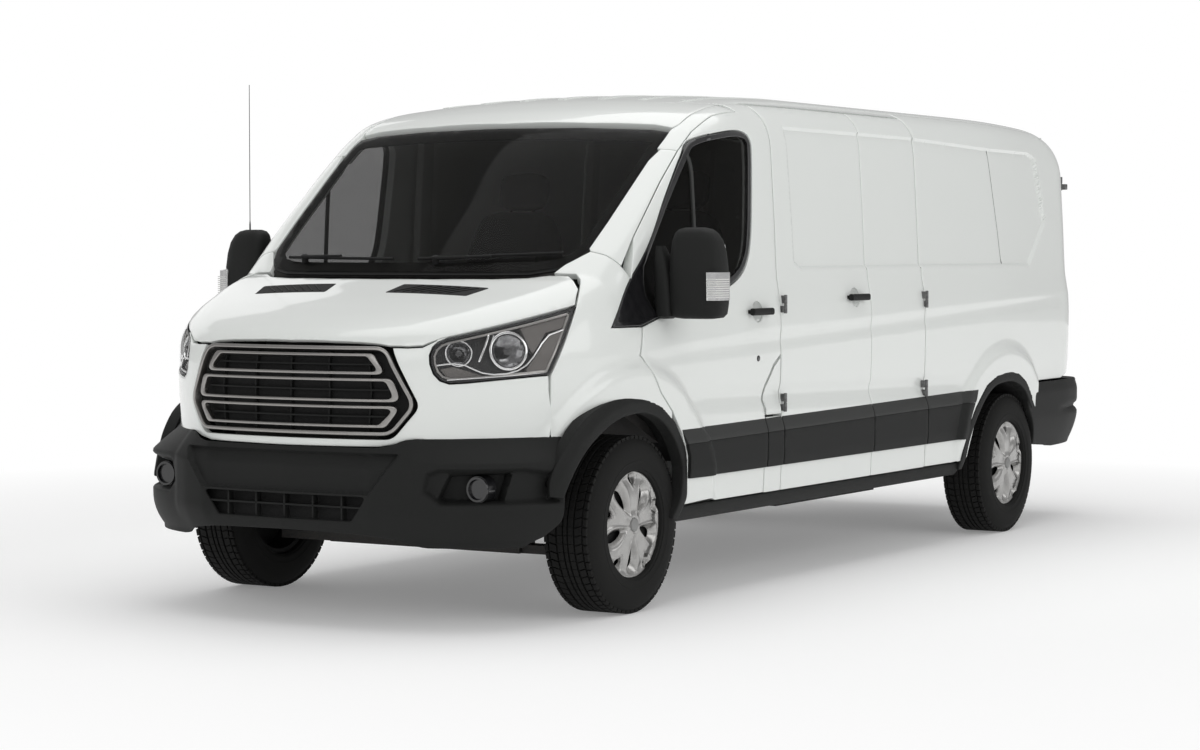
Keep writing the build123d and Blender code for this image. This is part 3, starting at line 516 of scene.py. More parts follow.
def finish(name, colour, second=None, rough=0.5, roughTo=None, metal=0.0, coat=0.0, scale=60.0, height=0.1,
           alpha=1.0, gloss=0.5):
    # colour runs to second, and rough to roughTo, over the grain's mask
    m = bpy.data.materials.new(name)
    m.use_nodes = True
    n, l = m.node_tree.nodes, m.node_tree.links
    shader = n["Principled BSDF"]
    g = n.new("ShaderNodeGroup")
    g.node_tree = grain
    for key, value in (("Scale", scale), ("Height", height)):
        g.inputs[key].default_value = value
    mix = n.new("ShaderNodeMix")
    mix.data_type = "RGBA"
    second = second or tuple(c * 0.93 for c in colour)
    mix.inputs["A"].default_value = (*colour, 1)
    mix.inputs["B"].default_value = (*second, 1)
    spread = n.new("ShaderNodeMapRange")
    spread.inputs["From Min"].default_value, spread.inputs["From Max"].default_value = 0.35, 0.65
    l.new(g.outputs["Mask"], spread.inputs["Value"])
    l.new(spread.outputs[0], mix.inputs["Factor"])
    l.new(mix.outputs["Result"], shader.inputs["Base Color"])
    roughMix = n.new("ShaderNodeMapRange")
    roughMix.inputs["To Min"].default_value = rough
    roughMix.inputs["To Max"].default_value = rough * 1.15 if roughTo is None else roughTo
    l.new(spread.outputs[0], roughMix.inputs["Value"])
    l.new(roughMix.outputs[0], shader.inputs["Roughness"])
    if height > 0:
        l.new(g.outputs["Normal"], shader.inputs["Normal"])
    shader.inputs["Metallic"].default_value = metal
    shader.inputs["Coat Weight"].default_value = coat
    shader.inputs["Coat Roughness"].default_value = 0.04
    shader.inputs["Specular IOR Level"].default_value = gloss
    shader.inputs["Alpha"].default_value = alpha
    return m


paint = finish("whitePaint", (0.80, 0.825, 0.80), (0.79, 0.815, 0.79), 0.30, 0.33, coat=0.8, scale=400,
               height=0.012)
# the paint below is the white body paint darkened by about a quarter: painted shade for the parts inside the
# body
shadedInnerPaint = finish("shadedInnerPaint", (0.62, 0.64, 0.62), rough=0.5, scale=90, height=0.05)
trimBlack = finish("grainedPlastic", (0.0125, 0.013, 0.0125), (0.018, 0.0185, 0.018), 0.50, 0.60, scale=700,
                   height=0.35, gloss=0.15)
bevelBlack = finish("satinPlastic", (0.034, 0.035, 0.034), (0.042, 0.043, 0.042), 0.48, 0.58, scale=700,
                    height=0.3, gloss=0.22)
glossBlack = finish("glossBlack", (0.008, 0.008, 0.009), (0.012, 0.012, 0.013), 0.12, 0.2, coat=0.5,
                    scale=40, height=0.01)
deepBlack = finish("deepBlack", (0.006, 0.006, 0.006), rough=0.8, scale=200, height=0.1)
rubberMat = finish("softRubber", (0.016, 0.016, 0.016), (0.022, 0.022, 0.022), 0.65, 0.8, scale=250,
                   height=0.2)
satinChrome = finish("satinChrome", (0.36, 0.35, 0.335), (0.33, 0.32, 0.31), 0.28, 0.36, metal=1.0,
                     scale=120, height=0.02)
brightChrome = finish("brightChrome", (0.80, 0.80, 0.80), (0.76, 0.76, 0.76), 0.08, 0.14, metal=1.0,
                      scale=60, height=0.01)
wheelSilver = finish("wheelSilver", (0.46, 0.455, 0.445), (0.40, 0.395, 0.385), 0.27, 0.34, metal=0.9,
                     coat=0.3, scale=300, height=0.03)
tyreBlack = finish("tyreRubber", (0.011, 0.011, 0.0105), (0.016, 0.016, 0.0155), 0.66, 0.80, scale=180,
                   height=0.25, gloss=0.14)
darkGlass = finish("tintedGlass", (0.010, 0.0098, 0.009), (0.010, 0.0098, 0.009), 0.02, 0.03, alpha=0.42,
                   scale=5, height=0, gloss=0.05)
redLens = finish("redLens", (0.30, 0.008, 0.010), (0.36, 0.012, 0.012), 0.08, 0.12, coat=0.6, scale=900,
                 height=0.1)
lampGrey = finish("lampGrey", (0.15, 0.138, 0.13), (0.10, 0.093, 0.088), 0.35, 0.5, metal=0.4, scale=420,
                  height=0.6)
lampDark = finish("lampDark", (0.010, 0.010, 0.011), (0.016, 0.016, 0.017), 0.3, 0.4, gloss=0.3, scale=60,
                  height=0.05)
seatCloth = finish("seatCloth", (0.014, 0.0145, 0.016), (0.024, 0.0245, 0.027), 0.85, 0.95, scale=900,
                   height=0.5)
steelGrey = finish("steelGrey", (0.20, 0.20, 0.20), (0.13, 0.13, 0.13), 0.45, 0.6, metal=0.7, scale=70,
                   height=0.15)
castDark = finish("castDark", (0.05, 0.05, 0.05), (0.08, 0.075, 0.07), 0.6, 0.75, metal=0.5, scale=120,
                  height=0.35)
capGrey = finish("capGrey", (0.30, 0.30, 0.295), (0.27, 0.27, 0.265), 0.45, 0.55, metal=0.5, scale=300,
                 height=0.05)
lampMirror = finish("lampMirror", (0.30, 0.30, 0.305), (0.16, 0.16, 0.165), 0.08, 0.16, metal=1.0, scale=38,
                    height=0.5)
lensClear = finish("lensClear", (0.5, 0.5, 0.5), rough=0.02, alpha=0.035, scale=5, height=0)
lensWhite = finish("lensWhite", (0.72, 0.72, 0.70), (0.66, 0.66, 0.64), 0.18, 0.25, coat=0.5, scale=200,
                   height=0.05)
# near-black lining: the doors' own dark trim, and painted shade where it lines the cab roof
liningAndCabShade = finish("liningAndCabShade", (0.012, 0.012, 0.0115), (0.018, 0.018, 0.0175), 0.8, 0.9, scale=500,
                    height=0.2)
print("materials made")


# shared lines, (y, z) seen from the side
doorShut = [(0.045, 1.133), (0.006, 1.019), (0.027, 1.004), (0.070, 0.938), (0.125, 0.868), (0.225, 0.790),
            (0.300, 0.700), (0.340, 0.590), (0.345, 0.400)]
doorRear = [(1.036, 0.400), (1.044, 0.720), (1.030, 0.798), (1.053, 0.860), (1.126, 0.943), (bLine, 0.985)]
blackEdge = [(0.048, 1.319), (0.162, 1.423), (0.339, 1.639), (0.517, 1.821), (0.594, 1.886), (0.751, 1.920),
             (0.921, 1.936), (0.993, 1.922), (1.019, 1.880), (0.997, 1.624), (0.969, 1.452), (0.912, 1.352),
             (0.793, 1.288), (0.55, 1.238), (0.30, 1.190), (0.045, 1.133)]
sailFront = (-0.155, 1.133)
windowEdge = smoothRun(blackEdge, 0.022)
# seams of pillar, door head, bonnet and wing as (x, y, z), half the screen as (x, z)
pillarSeam = [(0.86, 0.528, 1.833), (0.88, 0.36, 1.712), (0.905, 0.107, 1.489)]
doorHead = [(0.905, 0.98, 2.046), (0.875, 0.80, 1.997), (0.858, 0.65, 1.918)]
screenHalf = [(0, 1.345), (0.45, 1.345), (0.60, 1.347), (0.69, 1.362), (0.745, 1.395), (0.775, 1.44),
              (0.783, 1.55), (0.788, 1.75), (0.790, 1.895), (0.780, 1.925), (0.70, 1.937), (0.40, 1.950),
              (0, 1.955)]
hoodSeam = [(0.69, -0.165, 1.338), (0.775, -0.13, 1.33), (0.80, -0.150, 1.30), (0.835, -0.21, 1.262)]
hoodEdge = [(0.69, -0.180, 1.332), (0.758, -0.152, 1.322), (0.786, -0.172, 1.292), (0.835, -0.21, 1.262)]
fenderSeam = [(0.785, -0.03, 1.43), (0.85, -0.015, 1.41), (0.895, 0.02, 1.36)]
crossSeam = [(0.795, 0.50, 1.84), (0.83, 0.51, 1.84), (0.86, 0.528, 1.833)]
lampEnd = [(-0.118, 1.106), (-0.150, 1.094), (-0.175, 1.071), (-0.188, 1.040), (-0.187, 1.005),
           (-0.174, 0.968), (-0.150, 0.942), (-0.115, 0.930), (-0.050, 0.933)]
lampOutline = [(0.281, 0.958), (0.415, 1.221)] + lampEnd
roofSeamX = 0.80


def mirroredOutline(half):
    # closed outline from its left half, which starts and ends on the centre line
    return half + [(-x, v) for x, v in reversed(half) if x > 1e-6]


def flatOf(lay, *runs):
    # joins runs of places into one outline in a drawing plane
    out = []
    for run in runs:
        for p in lay.flat(run):
            if not out or math.dist(p, out[-1]) > 0.004:
                out.append(p)
    if math.dist(out[0], out[-1]) < 0.004:
        out.pop()
    return out


def snap(points):
    # places given roughly, moved onto the body along the pillar's way
    return pillarLay.on(pillarLay.flat(points))


lampTop = along([(0.415, 1.221), (-0.118, 1.106)], lampLay)
lampOuter = along([(0.281, 0.958), (0.415, 1.221)], lampLay)

# Front doors
headLine = along([(1.02, 2.058), (bLine, railTop)], sideLay)
doorOutline = flatOf(pillarLay, along(doorShut, sideLay), along(doorRear + [(bLine, railTop)], sideLay),
                     headLine[::-1], snap(doorHead), snap(pillarSeam), along(windowEdge, sideLay))
grips = dict(door=(0.982, 1.174), leaf=(1.930, 1.222), radius=0.0405)      # where the handles' cups are
gripHole = [tuple(p) for p in pillarLay.flat(sideLay.on(circle(*grips["door"], grips["radius"], 36)))]
pair("FrontDoor", [skin(pillarLay, doorOutline, panel["thick"], panel["step"], holes=[gripHole])], paint,
     ("left_front_door", "right_front_door"), (["left_front_door"], ["right_front_door"]))
print("front doors made")

# Side door leaves on the left, fixed panel on the right
leafBottom = 0.400
creases = [inset(recess, -0.003), inset(recess, 0.004), inset(recess, 0.0115)]


def strip(yLow, yHigh):
    # side panel from the leaves' lower edge up to the roof
    return [(yLow, leafBottom), (yHigh, leafBottom), (yHigh, railTop), (yLow, railTop)]


leafCupHole = circle(*grips["leaf"], grips["radius"], 36)
for name, leafBody, start, end, cupHoles in (
    ("sideLeafFront", "side_door_front_leaf", bLine, mLine, [leafCupHole]),
    ("sideLeafRear", "side_door_rear_leaf", mLine, rLine, [])):
    leaf = skin(sideLay, strip(start, end), panel["leafThick"], panel["leafStep"], holes=cupHoles,
                lines=creases)
    piece(name, [leaf], paint, leafBody, [leafBody])
piece("rightSidePanel", flipped([skin(sideLay, strip(bLine, rLine), panel["leafThick"], panel["leafStep"],
                                      lines=creases)]), paint)
flapOutline = [(1.044, 0.726), (1.030, 0.798), (1.053, 0.860), (1.126, 0.943), (bLine, 0.985), (bLine, 0.726)]
piece("fuelFlap", [skin(sideLay, flapOutline, 0.012, 0.01, gap=0.0045)], paint, "fuel_flap", ["fuel_flap"])
piece("rightFlapPanel", flipped([skin(sideLay, flapOutline, 0.03, 0.01)]), paint)
lowFlap = [(1.036, 0.400), (1.044, 0.726), (bLine, 0.726), (bLine, 0.400)]
print("side panels made")

# A-pillars, cant rails and rear quarters
screenSide = frontLay.on([(x, z) for x, z in spaced(screenHalf, 0.05) if x > 0.77 and 1.425 < z < 1.845])
pillarOutline = flatOf(pillarLay, screenSide, snap(crossSeam), snap(pillarSeam[1:]), snap(fenderSeam[::-1]))
screenTopCorner = frontLay.on([(0.789, 1.85), (0.790, 1.895), (0.785, 1.93)])
railOutline = flatOf(pillarLay, snap(crossSeam[::-1]), screenTopCorner,
                     along([(roofSeamX, 0.66), (roofSeamX, 1.0)], topLay, 0.1),
                     along([(0.9, 2.062), (1.02, 2.058)], sideLay)[::-1], snap(doorHead))
cant = railLay.flat(along([(1.0, 2.056), (bLine, railTop), (rLine, railTop)], sideLay, 0.1))
cantTop = railLay.flat(along([(roofSeamX, rLine), (roofSeamX, 1.0)], topLay, 0.1))
pair("Pillar", [skin(pillarLay, pillarOutline, panel["thick"], panel["step"], gap=weldHalf, edge=0.002)],
     paint)
pair("CantRail", [skin(railLay, cant + cantTop, panel["thick"], panel["step"], gap=weldHalf, edge=0.002)],
     paint)
pair("HeadRail", [skin(pillarLay, railOutline, panel["thick"], panel["step"], gap=weldHalf, edge=0.002)],
     paint)


def archArc(arch, grow, start, end, count=26):
    # points (y, z) along the wheel arch, from one angle to another
    out = []
    for i in range(count + 1):
        t = math.radians(start + (end - start) * i / count)
        out.append((arch["y"] + (arch["half"] + grow) * math.cos(t),
                    tyreRadius + (arch["height"] + grow) * math.sin(t)))
    return out


rearDoorX = 0.800
rearEdge = rearLay.on([(0.800, 0.76), (0.800, 1.0), (0.800, 1.3), (0.800, 1.6), (0.797, 1.78), (0.780, 1.93),
                       (0.740, 2.0)])
quarterTop = along([(0.74, rearFace - 0.115), (roofSeamX, rearFace - 0.2), (roofSeamX, rLine)], topLay, 0.08)
behindArch = (wheelbase + 0.36, 0.752)
quarterFront = along([(rLine, railTop), (rLine, leafBottom), (3.085, leafBottom)], sideLay)
quarterArch = along(archArc(rearArch, 0.01, 172, 25) + [behindArch], sideLay)
quarterFoot = along([behindArch, (rearFace - 0.30, 0.752)], sideLay)
quarterOutline = flatOf(quarterLay, quarterFront, quarterArch, quarterFoot, rearEdge, quarterTop)
quarterCreases = [[tuple(p) for p in quarterLay.flat(sideLay.on(spaced(line, 0.012)))] for line in creases]
pair("Quarter", [skin(quarterLay, quarterOutline, panel["thick"], panel["step"], lines=quarterCreases)],
     paint, ("van_body", "van_body"), (["left_body_side"], ["right_body_side"]))
print("quarters made")

# Bonnet, wings, front panel
bumperTop = [(0, 0.690), (0.40, 0.693), (0.47, 0.705), (0.527, 0.723), (0.70, 0.718)]
bonnetFront = frontLay.on([(0, 1.088), (0.20, 1.087), (0.36, 1.081), (0.43, 1.0715), (0.50, 1.0700),
                           (0.55, 1.0730)])
bonnetRear = frontLay.on([(0.63, 1.324), (0.5, 1.320), (0.25, 1.319), (0, 1.319)])
bonnetHalf = flatOf(bonnetLay, bonnetFront, lampTop[::-1], snap(hoodEdge[::-1]), bonnetRear)
bonnetOutline = bonnetHalf + [(-a, b) for a, b in reversed(bonnetHalf) if a > 0.004]
piece("bonnetSkin", [skin(bonnetLay, bonnetOutline, 0.02, 0.016)], paint, "bonnet", ["bonnet"])
wingOutline = flatOf(pillarLay, lampOuter, snap(hoodSeam[::-1]), frontLay.on([(0.72, 1.378), (0.76, 1.41)]),
                     snap(fenderSeam), along([(0.048, 1.319), sailFront, (0.045, 1.133)], sideLay),
                     along(doorShut[:6], sideLay), along(archArc(frontArch, 0.02, 55, 148), sideLay),
                     along([(-0.44, 0.715), (-0.508, 0.715)], sideLay), lampLay.on([(0.281, 0.90)]))
pair("Wing", [skin(pillarLay, wingOutline, 0.03, 0.016)], paint, ("van_body", "van_body"),
     (["front_wings"], []))
panelHalf = flatOf(frontLay, frontLay.on([(0.442, 1.068), (0.50, 1.066), (0.55, 1.069)]),
                   lampLay.on(lampEnd + [(0.281, 0.958), (0.281, 0.90)]), sideLay.on([(-0.508, 0.715)]),
                   frontLay.on(bumperTop[::-1]))
panelOutline = panelHalf + [(-a, b) for a, b in reversed(panelHalf) if a > 0.004]
panelOutline = panelOutline + rounded([(-0.442, 1.068), (-0.545, 0.845), (-0.45, 0.722), (0.45, 0.722),
                                       (0.545, 0.845), (0.442, 1.068)], [0, 0.05, 0.06, 0.06, 0.05, 0])[1:-1]
piece("frontPanel", [skin(frontLay, panelOutline, 0.025, 0.016, gap=roofHalfGap)], paint, "van_body",
      ["front_panel"])
print("front body made")

# Roof
roofFront = frontLay.on([(0, 1.972), (0.4, 1.967), (0.70, 1.955), (0.785, 1.94)])
roofSide = along([(roofSeamX, 0.66), (roofSeamX, rearFace - 0.2), (0.74, rearFace - 0.115)], topLay, 0.2)
roofBack = along([(0.70, rearFace - 0.095), (0, rearFace - 0.075)], topLay, 0.2)
roofHalf = flatOf(topLay, roofFront, roofSide, roofBack)
roofOutline = roofHalf + [(-a, b) for a, b in reversed(roofHalf) if a > 0.004]
piece("roofSkin", [skin(topLay, roofOutline, 0.04, 0.02, gap=roofHalfGap)], paint, "van_body", ["roof_panel"])

# Windscreen with its dark border
screen = mirroredOutline(screenHalf)
piece("windscreenGlass", [skin(frontLay, screen, 0.005, 0.03, gap=0.004, edge=0.001, push=level(-0.003))],
      darkGlass, "van_body", ["windscreen"])
piece("screenBorder", [skin(frontLay, screen, 0.006, 0.016, holes=[inset(screen, 0.042)], gap=-0.004,
                            edge=0.001, push=level(-0.0095))], trimBlack)

# Rear doors
rearHalf = rounded([(0, 0.748), (rearDoorX, 0.748), (rearDoorX, 1.78), (0.78, 1.93), (0.735, 1.995),
                    (0, 2.0)], [0, 0.02, 0.1, 0.05, 0.05, 0])
for side, bodyName in ((1, "rear_door_left"), (-1, "rear_door_right")):
    shape = [skin(rearLay, rearHalf, 0.045, 0.018)]
    piece(bodyName + "Skin", shape if side > 0 else flipped(shape), paint, bodyName, [bodyName])
print("roof and rear made")


# Helpers for the smaller pieces
def runLength(points):
    # length along a polyline up to each of its points
    return np.concatenate([[0], np.cumsum([math.dist(a, b) for a, b in zip(points, points[1:])])])


def crossNormals(place, e=0.003):
    # normals of a surface given as place(u, v)
    def normals(pos, ab):
        a, b = ab[:, 0], ab[:, 1]
        n = np.cross(place(a + e, b) - place(a - e, b), place(a, b + e) - place(a, b - e))
        return n / np.maximum(np.linalg.norm(n, axis=1), 1e-12)[:, None]
    return normals


def laid(place, loops, thickness, step, edge=0.003, push=None, lines=()):
    # closed shell over place(u, v)
    return sheet(lambda ab: place(ab[:, 0], ab[:, 1]), crossNormals(place), loops, step, edge, thickness,
                 push, lines)


def ribbonOutline(points, width):
    # closed outline round a polyline, half the width to each side
    p = np.array(points, float)
    t = np.gradient(p, axis=0)
    t /= np.linalg.norm(t, axis=1)[:, None]
    n = np.column_stack([-t[:, 1], t[:, 0]]) * width / 2
    return [tuple(q) for q in np.vstack([p + n, (p - n)[::-1]])]


def ribbon(lay, points, width, thickness=0.006, push=0.002, step=0.01):
    return plate(lay, ribbonOutline(points, width), thickness, step, push, edge=min(0.0015, width / 4))


def around(count):
    # equal angles round a full turn
    return np.linspace(0, 2 * math.pi, count, endpoint=False)


def loft(rings, caps=True):
    # closed skin over equal rings
    n = len(rings[0])
    faces = [(i * n + j, i * n + (j + 1) % n, (i + 1) * n + (j + 1) % n, (i + 1) * n + j)
             for i in range(len(rings) - 1) for j in range(n)]
    if caps:
        faces += [tuple(range(n))[::-1], tuple(range((len(rings) - 1) * n, len(rings) * n))]
    return np.vstack(rings), faces


def block(low, high, bevel=0.004, corner=None):
    # box with rounded edges
    corner = bevel if corner is None else corner
    base = [(low[0], low[1]), (high[0], low[1]), (high[0], high[1]), (low[0], high[1])]
    rings = []
    small = bevel * 0.3
    for z, back in ((low[2], bevel), (low[2] + small, small), (low[2] + bevel, 0),
                    (high[2] - bevel, 0), (high[2] - small, small), (high[2], bevel)):
        flat = rounded([(x + (back if x == low[0] else -back), y + (back if y == low[1] else -back))
                        for x, y in base], corner, 4)
        rings.append([(x, y, z) for x, y in flat])
    return loft(rings)


def tube(points, radius, sides=10):
    # round bar along a polyline; radius is one number or one for each point
    p = np.array(points, float)
    r = np.full(len(p), radius) if isinstance(radius, (int, float)) else np.array(radius, float)
    t = np.gradient(p, axis=0)
    t /= np.linalg.norm(t, axis=1)[:, None]
    side = np.cross(t[0], (0, 0, 1) if abs(t[0][2]) < 0.9 else (1, 0, 0))
    rings = []
    for i in range(len(p)):
        side = side - t[i] * np.dot(side, t[i])
        side /= np.linalg.norm(side)
        other = np.cross(t[i], side)
        rings.append([p[i] + r[i] * (math.cos(a) * side + math.sin(a) * other)
                      for a in around(sides)])
    return loft(rings)


piece("leftLowFlapPanel", [skin(sideLay, lowFlap, 0.03, 0.014)], paint)
piece("rightLowFlapPanel", flipped([skin(sideLay, lowFlap, 0.03, 0.014)]), paint)

# Door windows: black surround with the sail, glass, divider
doorBodies = ("left_front_door", "right_front_door")
surroundOutline = [sailFront] + windowEdge
glassBase = smoothRun(blackEdge[1:-1], 0.022) + [(0.16, 1.163), (0.105, 1.24), (0.125, 1.375)]
glassOutline = rounded(inset(glassBase, 0.028), 0.02, 3)
pair("WindowFrame", [skin(sideLay, surroundOutline, 0.02, 0.014, holes=[glassOutline],
                          gap=0.003, push=level(-0.002))], glossBlack, doorBodies)
pair("DoorGlass", [skin(sideLay, glassOutline, 0.004, 0.03, edge=0.001, gap=-0.006, push=level(-0.008))],
     darkGlass, doorBodies, (["left_door_glass"], ["right_door_glass"]))
pair("GlassDivider", [plate(sideLay, [(0.536, 1.255), (0.554, 1.255), (0.554, 1.835), (0.536, 1.818)],
                            0.012, 0.02, 0.0005)], bevelBlack, doorBodies)
print("door windows made")

# Flares and cladding
flare = dict(width=0.045, drop=0.016, depth=0.055)
frontFlareOuter = [(-0.612, 0.506), (-0.603, 0.551), (-0.571, 0.624), (-0.515, 0.701), (-0.443, 0.770),
                   (-0.369, 0.810), (-0.255, 0.845), (-0.14, 0.860), (-0.031, 0.862), (0.100, 0.841),
                   (0.197, 0.800), (0.260, 0.750), (0.307, 0.690), (0.341, 0.600), (0.3455, 0.500),
                   (0.340, 0.400), (0.300, 0.352)]
frontFlareInner = [(0.253, 0.352), (0.297, 0.462), (0.309, 0.553), (0.283, 0.617), (0.215, 0.700),
                   (0.117, 0.764), (0.05, 0.785), (-0.016, 0.795), (-0.122, 0.791), (-0.238, 0.767),
                   (-0.329, 0.728), (-0.431, 0.665), (-0.515, 0.565), (-0.551, 0.500)]
rearFlareOuter = [(3.078, 0.360), (3.078, 0.513), (3.120, 0.600), (3.200, 0.680), (3.305, 0.752),
                  (3.422, 0.810), (3.557, 0.846), (3.678, 0.852), (3.783, 0.836), (3.872, 0.800),
                  (3.95, 0.752), (4.01, 0.70)]
rearFlareInner = [(4.015, 0.61), (3.970, 0.650), (3.898, 0.713), (3.790, 0.756), (3.685, 0.772),
                  (3.531, 0.763), (3.412, 0.721), (3.281, 0.620), (3.200, 0.532), (3.150, 0.450),
                  (3.123, 0.360)]
frontFlareX = curve([(-0.64, 0.948), (-0.60, 0.968), (-0.52, 0.998), (-0.38, 1.016), (-0.10, 1.021),
                     (0.35, 1.019)])
rearFlareX = curve([(3.05, 1.019), (3.60, 1.022), (3.80, 1.018), (4.05, 1.003)])


def archLip(widthAt, opening):
    # place(y, z) on a flare: full at the opening, falling back towards the body
    hole = opening + [opening[-1]]

    def place(y, z):
        d = np.full(np.shape(y), 1e9)
        for (y0, z0), (y1, z1) in zip(hole, hole[1:]):
            dy, dz = y1 - y0, z1 - z0
            t = np.clip(((y - y0) * dy + (z - z0) * dz) / max(dy * dy + dz * dz, 1e-9), 0, 1)
            d = np.minimum(d, np.hypot(y - y0 - t * dy, z - z0 - t * dz))
        x = widthAt(y) - flare["drop"] * smooth(d, flare["width"], flare["width"] + 0.028)
        x = x - 0.03 * smooth(0.45 - z, 0, 0.15)
        return np.column_stack([x, y, z])
    return place


frontFlare = laid(archLip(frontFlareX, frontFlareInner),
                  [smoothRun(frontFlareOuter) + smoothRun(frontFlareInner)], flare["depth"], 0.012, 0.006)
rearFlare = laid(archLip(rearFlareX, rearFlareInner), [smoothRun(rearFlareOuter) + smoothRun(rearFlareInner)],
                 flare["depth"], 0.012, 0.006)
pair("Flares", [frontFlare, rearFlare], trimBlack)

frontLining = [(0.402, 0.575), (0.382, 0.620), (0.308, 0.690), (0.215, 0.760), (0.120, 0.790),
               (0.050, 0.802), (-0.016, 0.808), (-0.122, 0.804), (-0.238, 0.780), (-0.329, 0.741),
               (-0.431, 0.678), (-0.515, 0.578), (-0.556, 0.500), (-0.580, 0.400)]
for word, arch, run, xIn, xOut in (("Front", frontArch, smoothRun(frontLining), 0.60, 0.93),
                                   ("Rear", rearArch, smoothRun(rearFlareInner), 0.66, 0.98)):
    rings = []
    for y, z in run:
        far = (arch["y"] + (y - arch["y"]) * 1.03, tyreRadius + (z - tyreRadius) * 1.03)
        rings.append([(xOut, y, z), (xOut, *far), (xIn, *far), (xIn, y, z)])
    pair(word + "ArchLining", [loft(rings)], deepBlack)


def claddingTop(y):
    # the cladding rises slightly to the rear
    return 0.712 + (y - 0.326) * 0.0118


def claddingPush(ab):
    # stands out from the body, with a bevel at its top
    top = claddingTop(ab[:, 0])
    return 0.016 * smooth(top - ab[:, 1], 0.0, 0.062) ** 0.7 - 0.004 * smooth(0.55 - ab[:, 1], 0, 0.03)


cladGap = 0.003        # half the gap between two lengths of cladding
for name, yLow, yHigh, partBodies in (
    ("DoorCladding", 0.348, 1.037, doorBodies),
    ("FlapCladding", 1.043, bLine - cladGap, ("van_body", "van_body")),
    ("FrontLeafCladding", bLine + cladGap, mLine - cladGap, ("side_door_front_leaf", None)),
    ("RearLeafCladding", mLine + cladGap, rLine - cladGap, ("side_door_rear_leaf", None)),
    ("PanelCladding", bLine + cladGap, rLine - cladGap, (None, "van_body")),
    ("QuarterCladding", rLine + cladGap, 3.118, ("van_body", "van_body"))):
    backTop = 3.285 if name == "QuarterCladding" else yHigh
    low, split = 0.512, 0.060
    lean = 1 if name == "DoorCladding" else 0      # the front end follows the flare
    main = [(yLow, low), (yHigh, low), (3.150 if backTop > yHigh else yHigh, 0.60),
            (backTop - (0.07 if backTop > yHigh else 0), claddingTop(yHigh) - split),
            (yLow - 0.020 * lean, claddingTop(yLow) - split), (yLow - 0.001, 0.605)]
    bevel = [(yLow - 0.020 * lean, claddingTop(yLow) - split),
             (backTop - (0.07 if backTop > yHigh else 0), claddingTop(yHigh) - split),
             (backTop, claddingTop(backTop)), (yLow - 0.046 * lean, claddingTop(yLow))]
    shapes = [[skin(sideLay, main, 0.02, 0.016, edge=0.002, gap=0.0002, push=claddingPush)],
              [skin(sideLay, bevel, 0.012, 0.012, edge=0.0015, gap=0.0002, push=claddingPush)]]
    for shape, part, material in ((shapes[0], "", trimBlack), (shapes[1], "Bevel", bevelBlack)):
        if partBodies[0]:
            piece("left" + name + part, shape, material, partBodies[0])
        if partBodies[1]:
            piece("right" + name + part, flipped(shape), material, partBodies[1])


def sillLine(y, z):
    # sill face, turned in at its foot
    return np.column_stack([np.full(np.shape(y), 0.992) - 0.03 * smooth(0.37 - z, 0, 0.05), y, z])


pair("SillStrip", [laid(sillLine, [[(0.30, 0.332), (3.10, 0.332), (3.10, 0.398), (0.30, 0.398)]], 0.04,
                        0.02, 0.006)], trimBlack)
print("cladding made")

# Front bumper
bumper = dict(fold=0.630, foldCentre=0.615, plateDepth=0.020, fogDepth=0.034, lampDepth=0.055, lip=0.045)
bumperPlan = [(0, -1.006), (0.330, -0.990), (0.480, -0.962), (0.560, -0.928), (0.680, -0.872),
              (0.790, -0.800), (0.880, -0.705), (0.945, -0.595), (0.985, -0.490), (1.004, -0.400),
              (1.010, -0.300)]
planU = runLength(bumperPlan)
planX = curve(list(zip(planU, [p[0] for p in bumperPlan])))
planY = curve(list(zip(planU, [p[1] for p in bumperPlan])))


def planPlace(u):
    # (x, y) at a length along the bumper, from its middle
    a = np.abs(u)
    return np.sign(u) * planX(a), planY(a)


def planOut(u):
    # outward way in plan
    e = 0.012
    x0, y0 = planPlace(u - e)
    x1, y1 = planPlace(u + e)
    n = np.column_stack([y1 - y0, x0 - x1])
    return n / np.linalg.norm(n, axis=1)[:, None]


sampleU = np.linspace(0, planU[-1], 34)
sx, sy = planPlace(sampleU)
sn = planOut(sampleU)
onBody = solve(np.column_stack([sx + sn[:, 0] * 0.1, sy + sn[:, 1] * 0.1, np.full(34, 0.725)]),
               np.column_stack([-sn, np.zeros(34)]), 0.6)
toBody = curve(list(zip(sampleU, np.maximum(np.hypot(onBody[:, 0] - sx, onBody[:, 1] - sy), 0.004))))
plateOutline = [(-0.512, 0.668), (0.512, 0.668), (0.394, 0.520), (-0.394, 0.520)]
fogField = [(0.615, 0.600), (0.66, 0.618), (1.00, 0.618), (1.12, 0.600), (1.16, 0.480), (0.665, 0.480),
            (0.60, 0.53)]
fogHole = [(0.655, 0.500), (0.705, 0.592), (0.955, 0.600), (0.915, 0.488), (0.68, 0.486)]


def bumperPlace(u, z):
    # place on the front bumper, with its folds, plate and lamp recesses
    a = np.abs(u)
    x, y = planPlace(u)
    n = planOut(u)
    fold = bumper["foldCentre"] + (bumper["fold"] - bumper["foldCentre"]) * smooth(a, 0.45, 0.6)
    out = -np.minimum(toBody(a), 0.16) * np.clip((z - fold) / (0.725 - fold), 0, 1.2) ** 1.1
    lipTop = 0.44 + 0.02 * smooth(a, 0.3, 0.6)
    out = out - bumper["lip"] * np.clip((lipTop - z) / 0.13, 0, 1) ** 2.2
    out = out - bumper["plateDepth"] * smooth(insideDepth(plateOutline, u, z), -0.003, 0.006)
    column = smooth(a, 0.34, 0.40) * (1 - smooth(a, 0.56, 0.62)) * smooth(z, 0.36, 0.45)
    out = out + 0.010 * column
    out = out - bumper["fogDepth"] * smooth(insideDepth(fogField, a, z), -0.004, 0.022)
    out = out - bumper["lampDepth"] * smooth(insideDepth(fogHole, a, z), -0.002, 0.010)
    return np.column_stack([x + n[:, 0] * out, y + n[:, 1] * out, z])


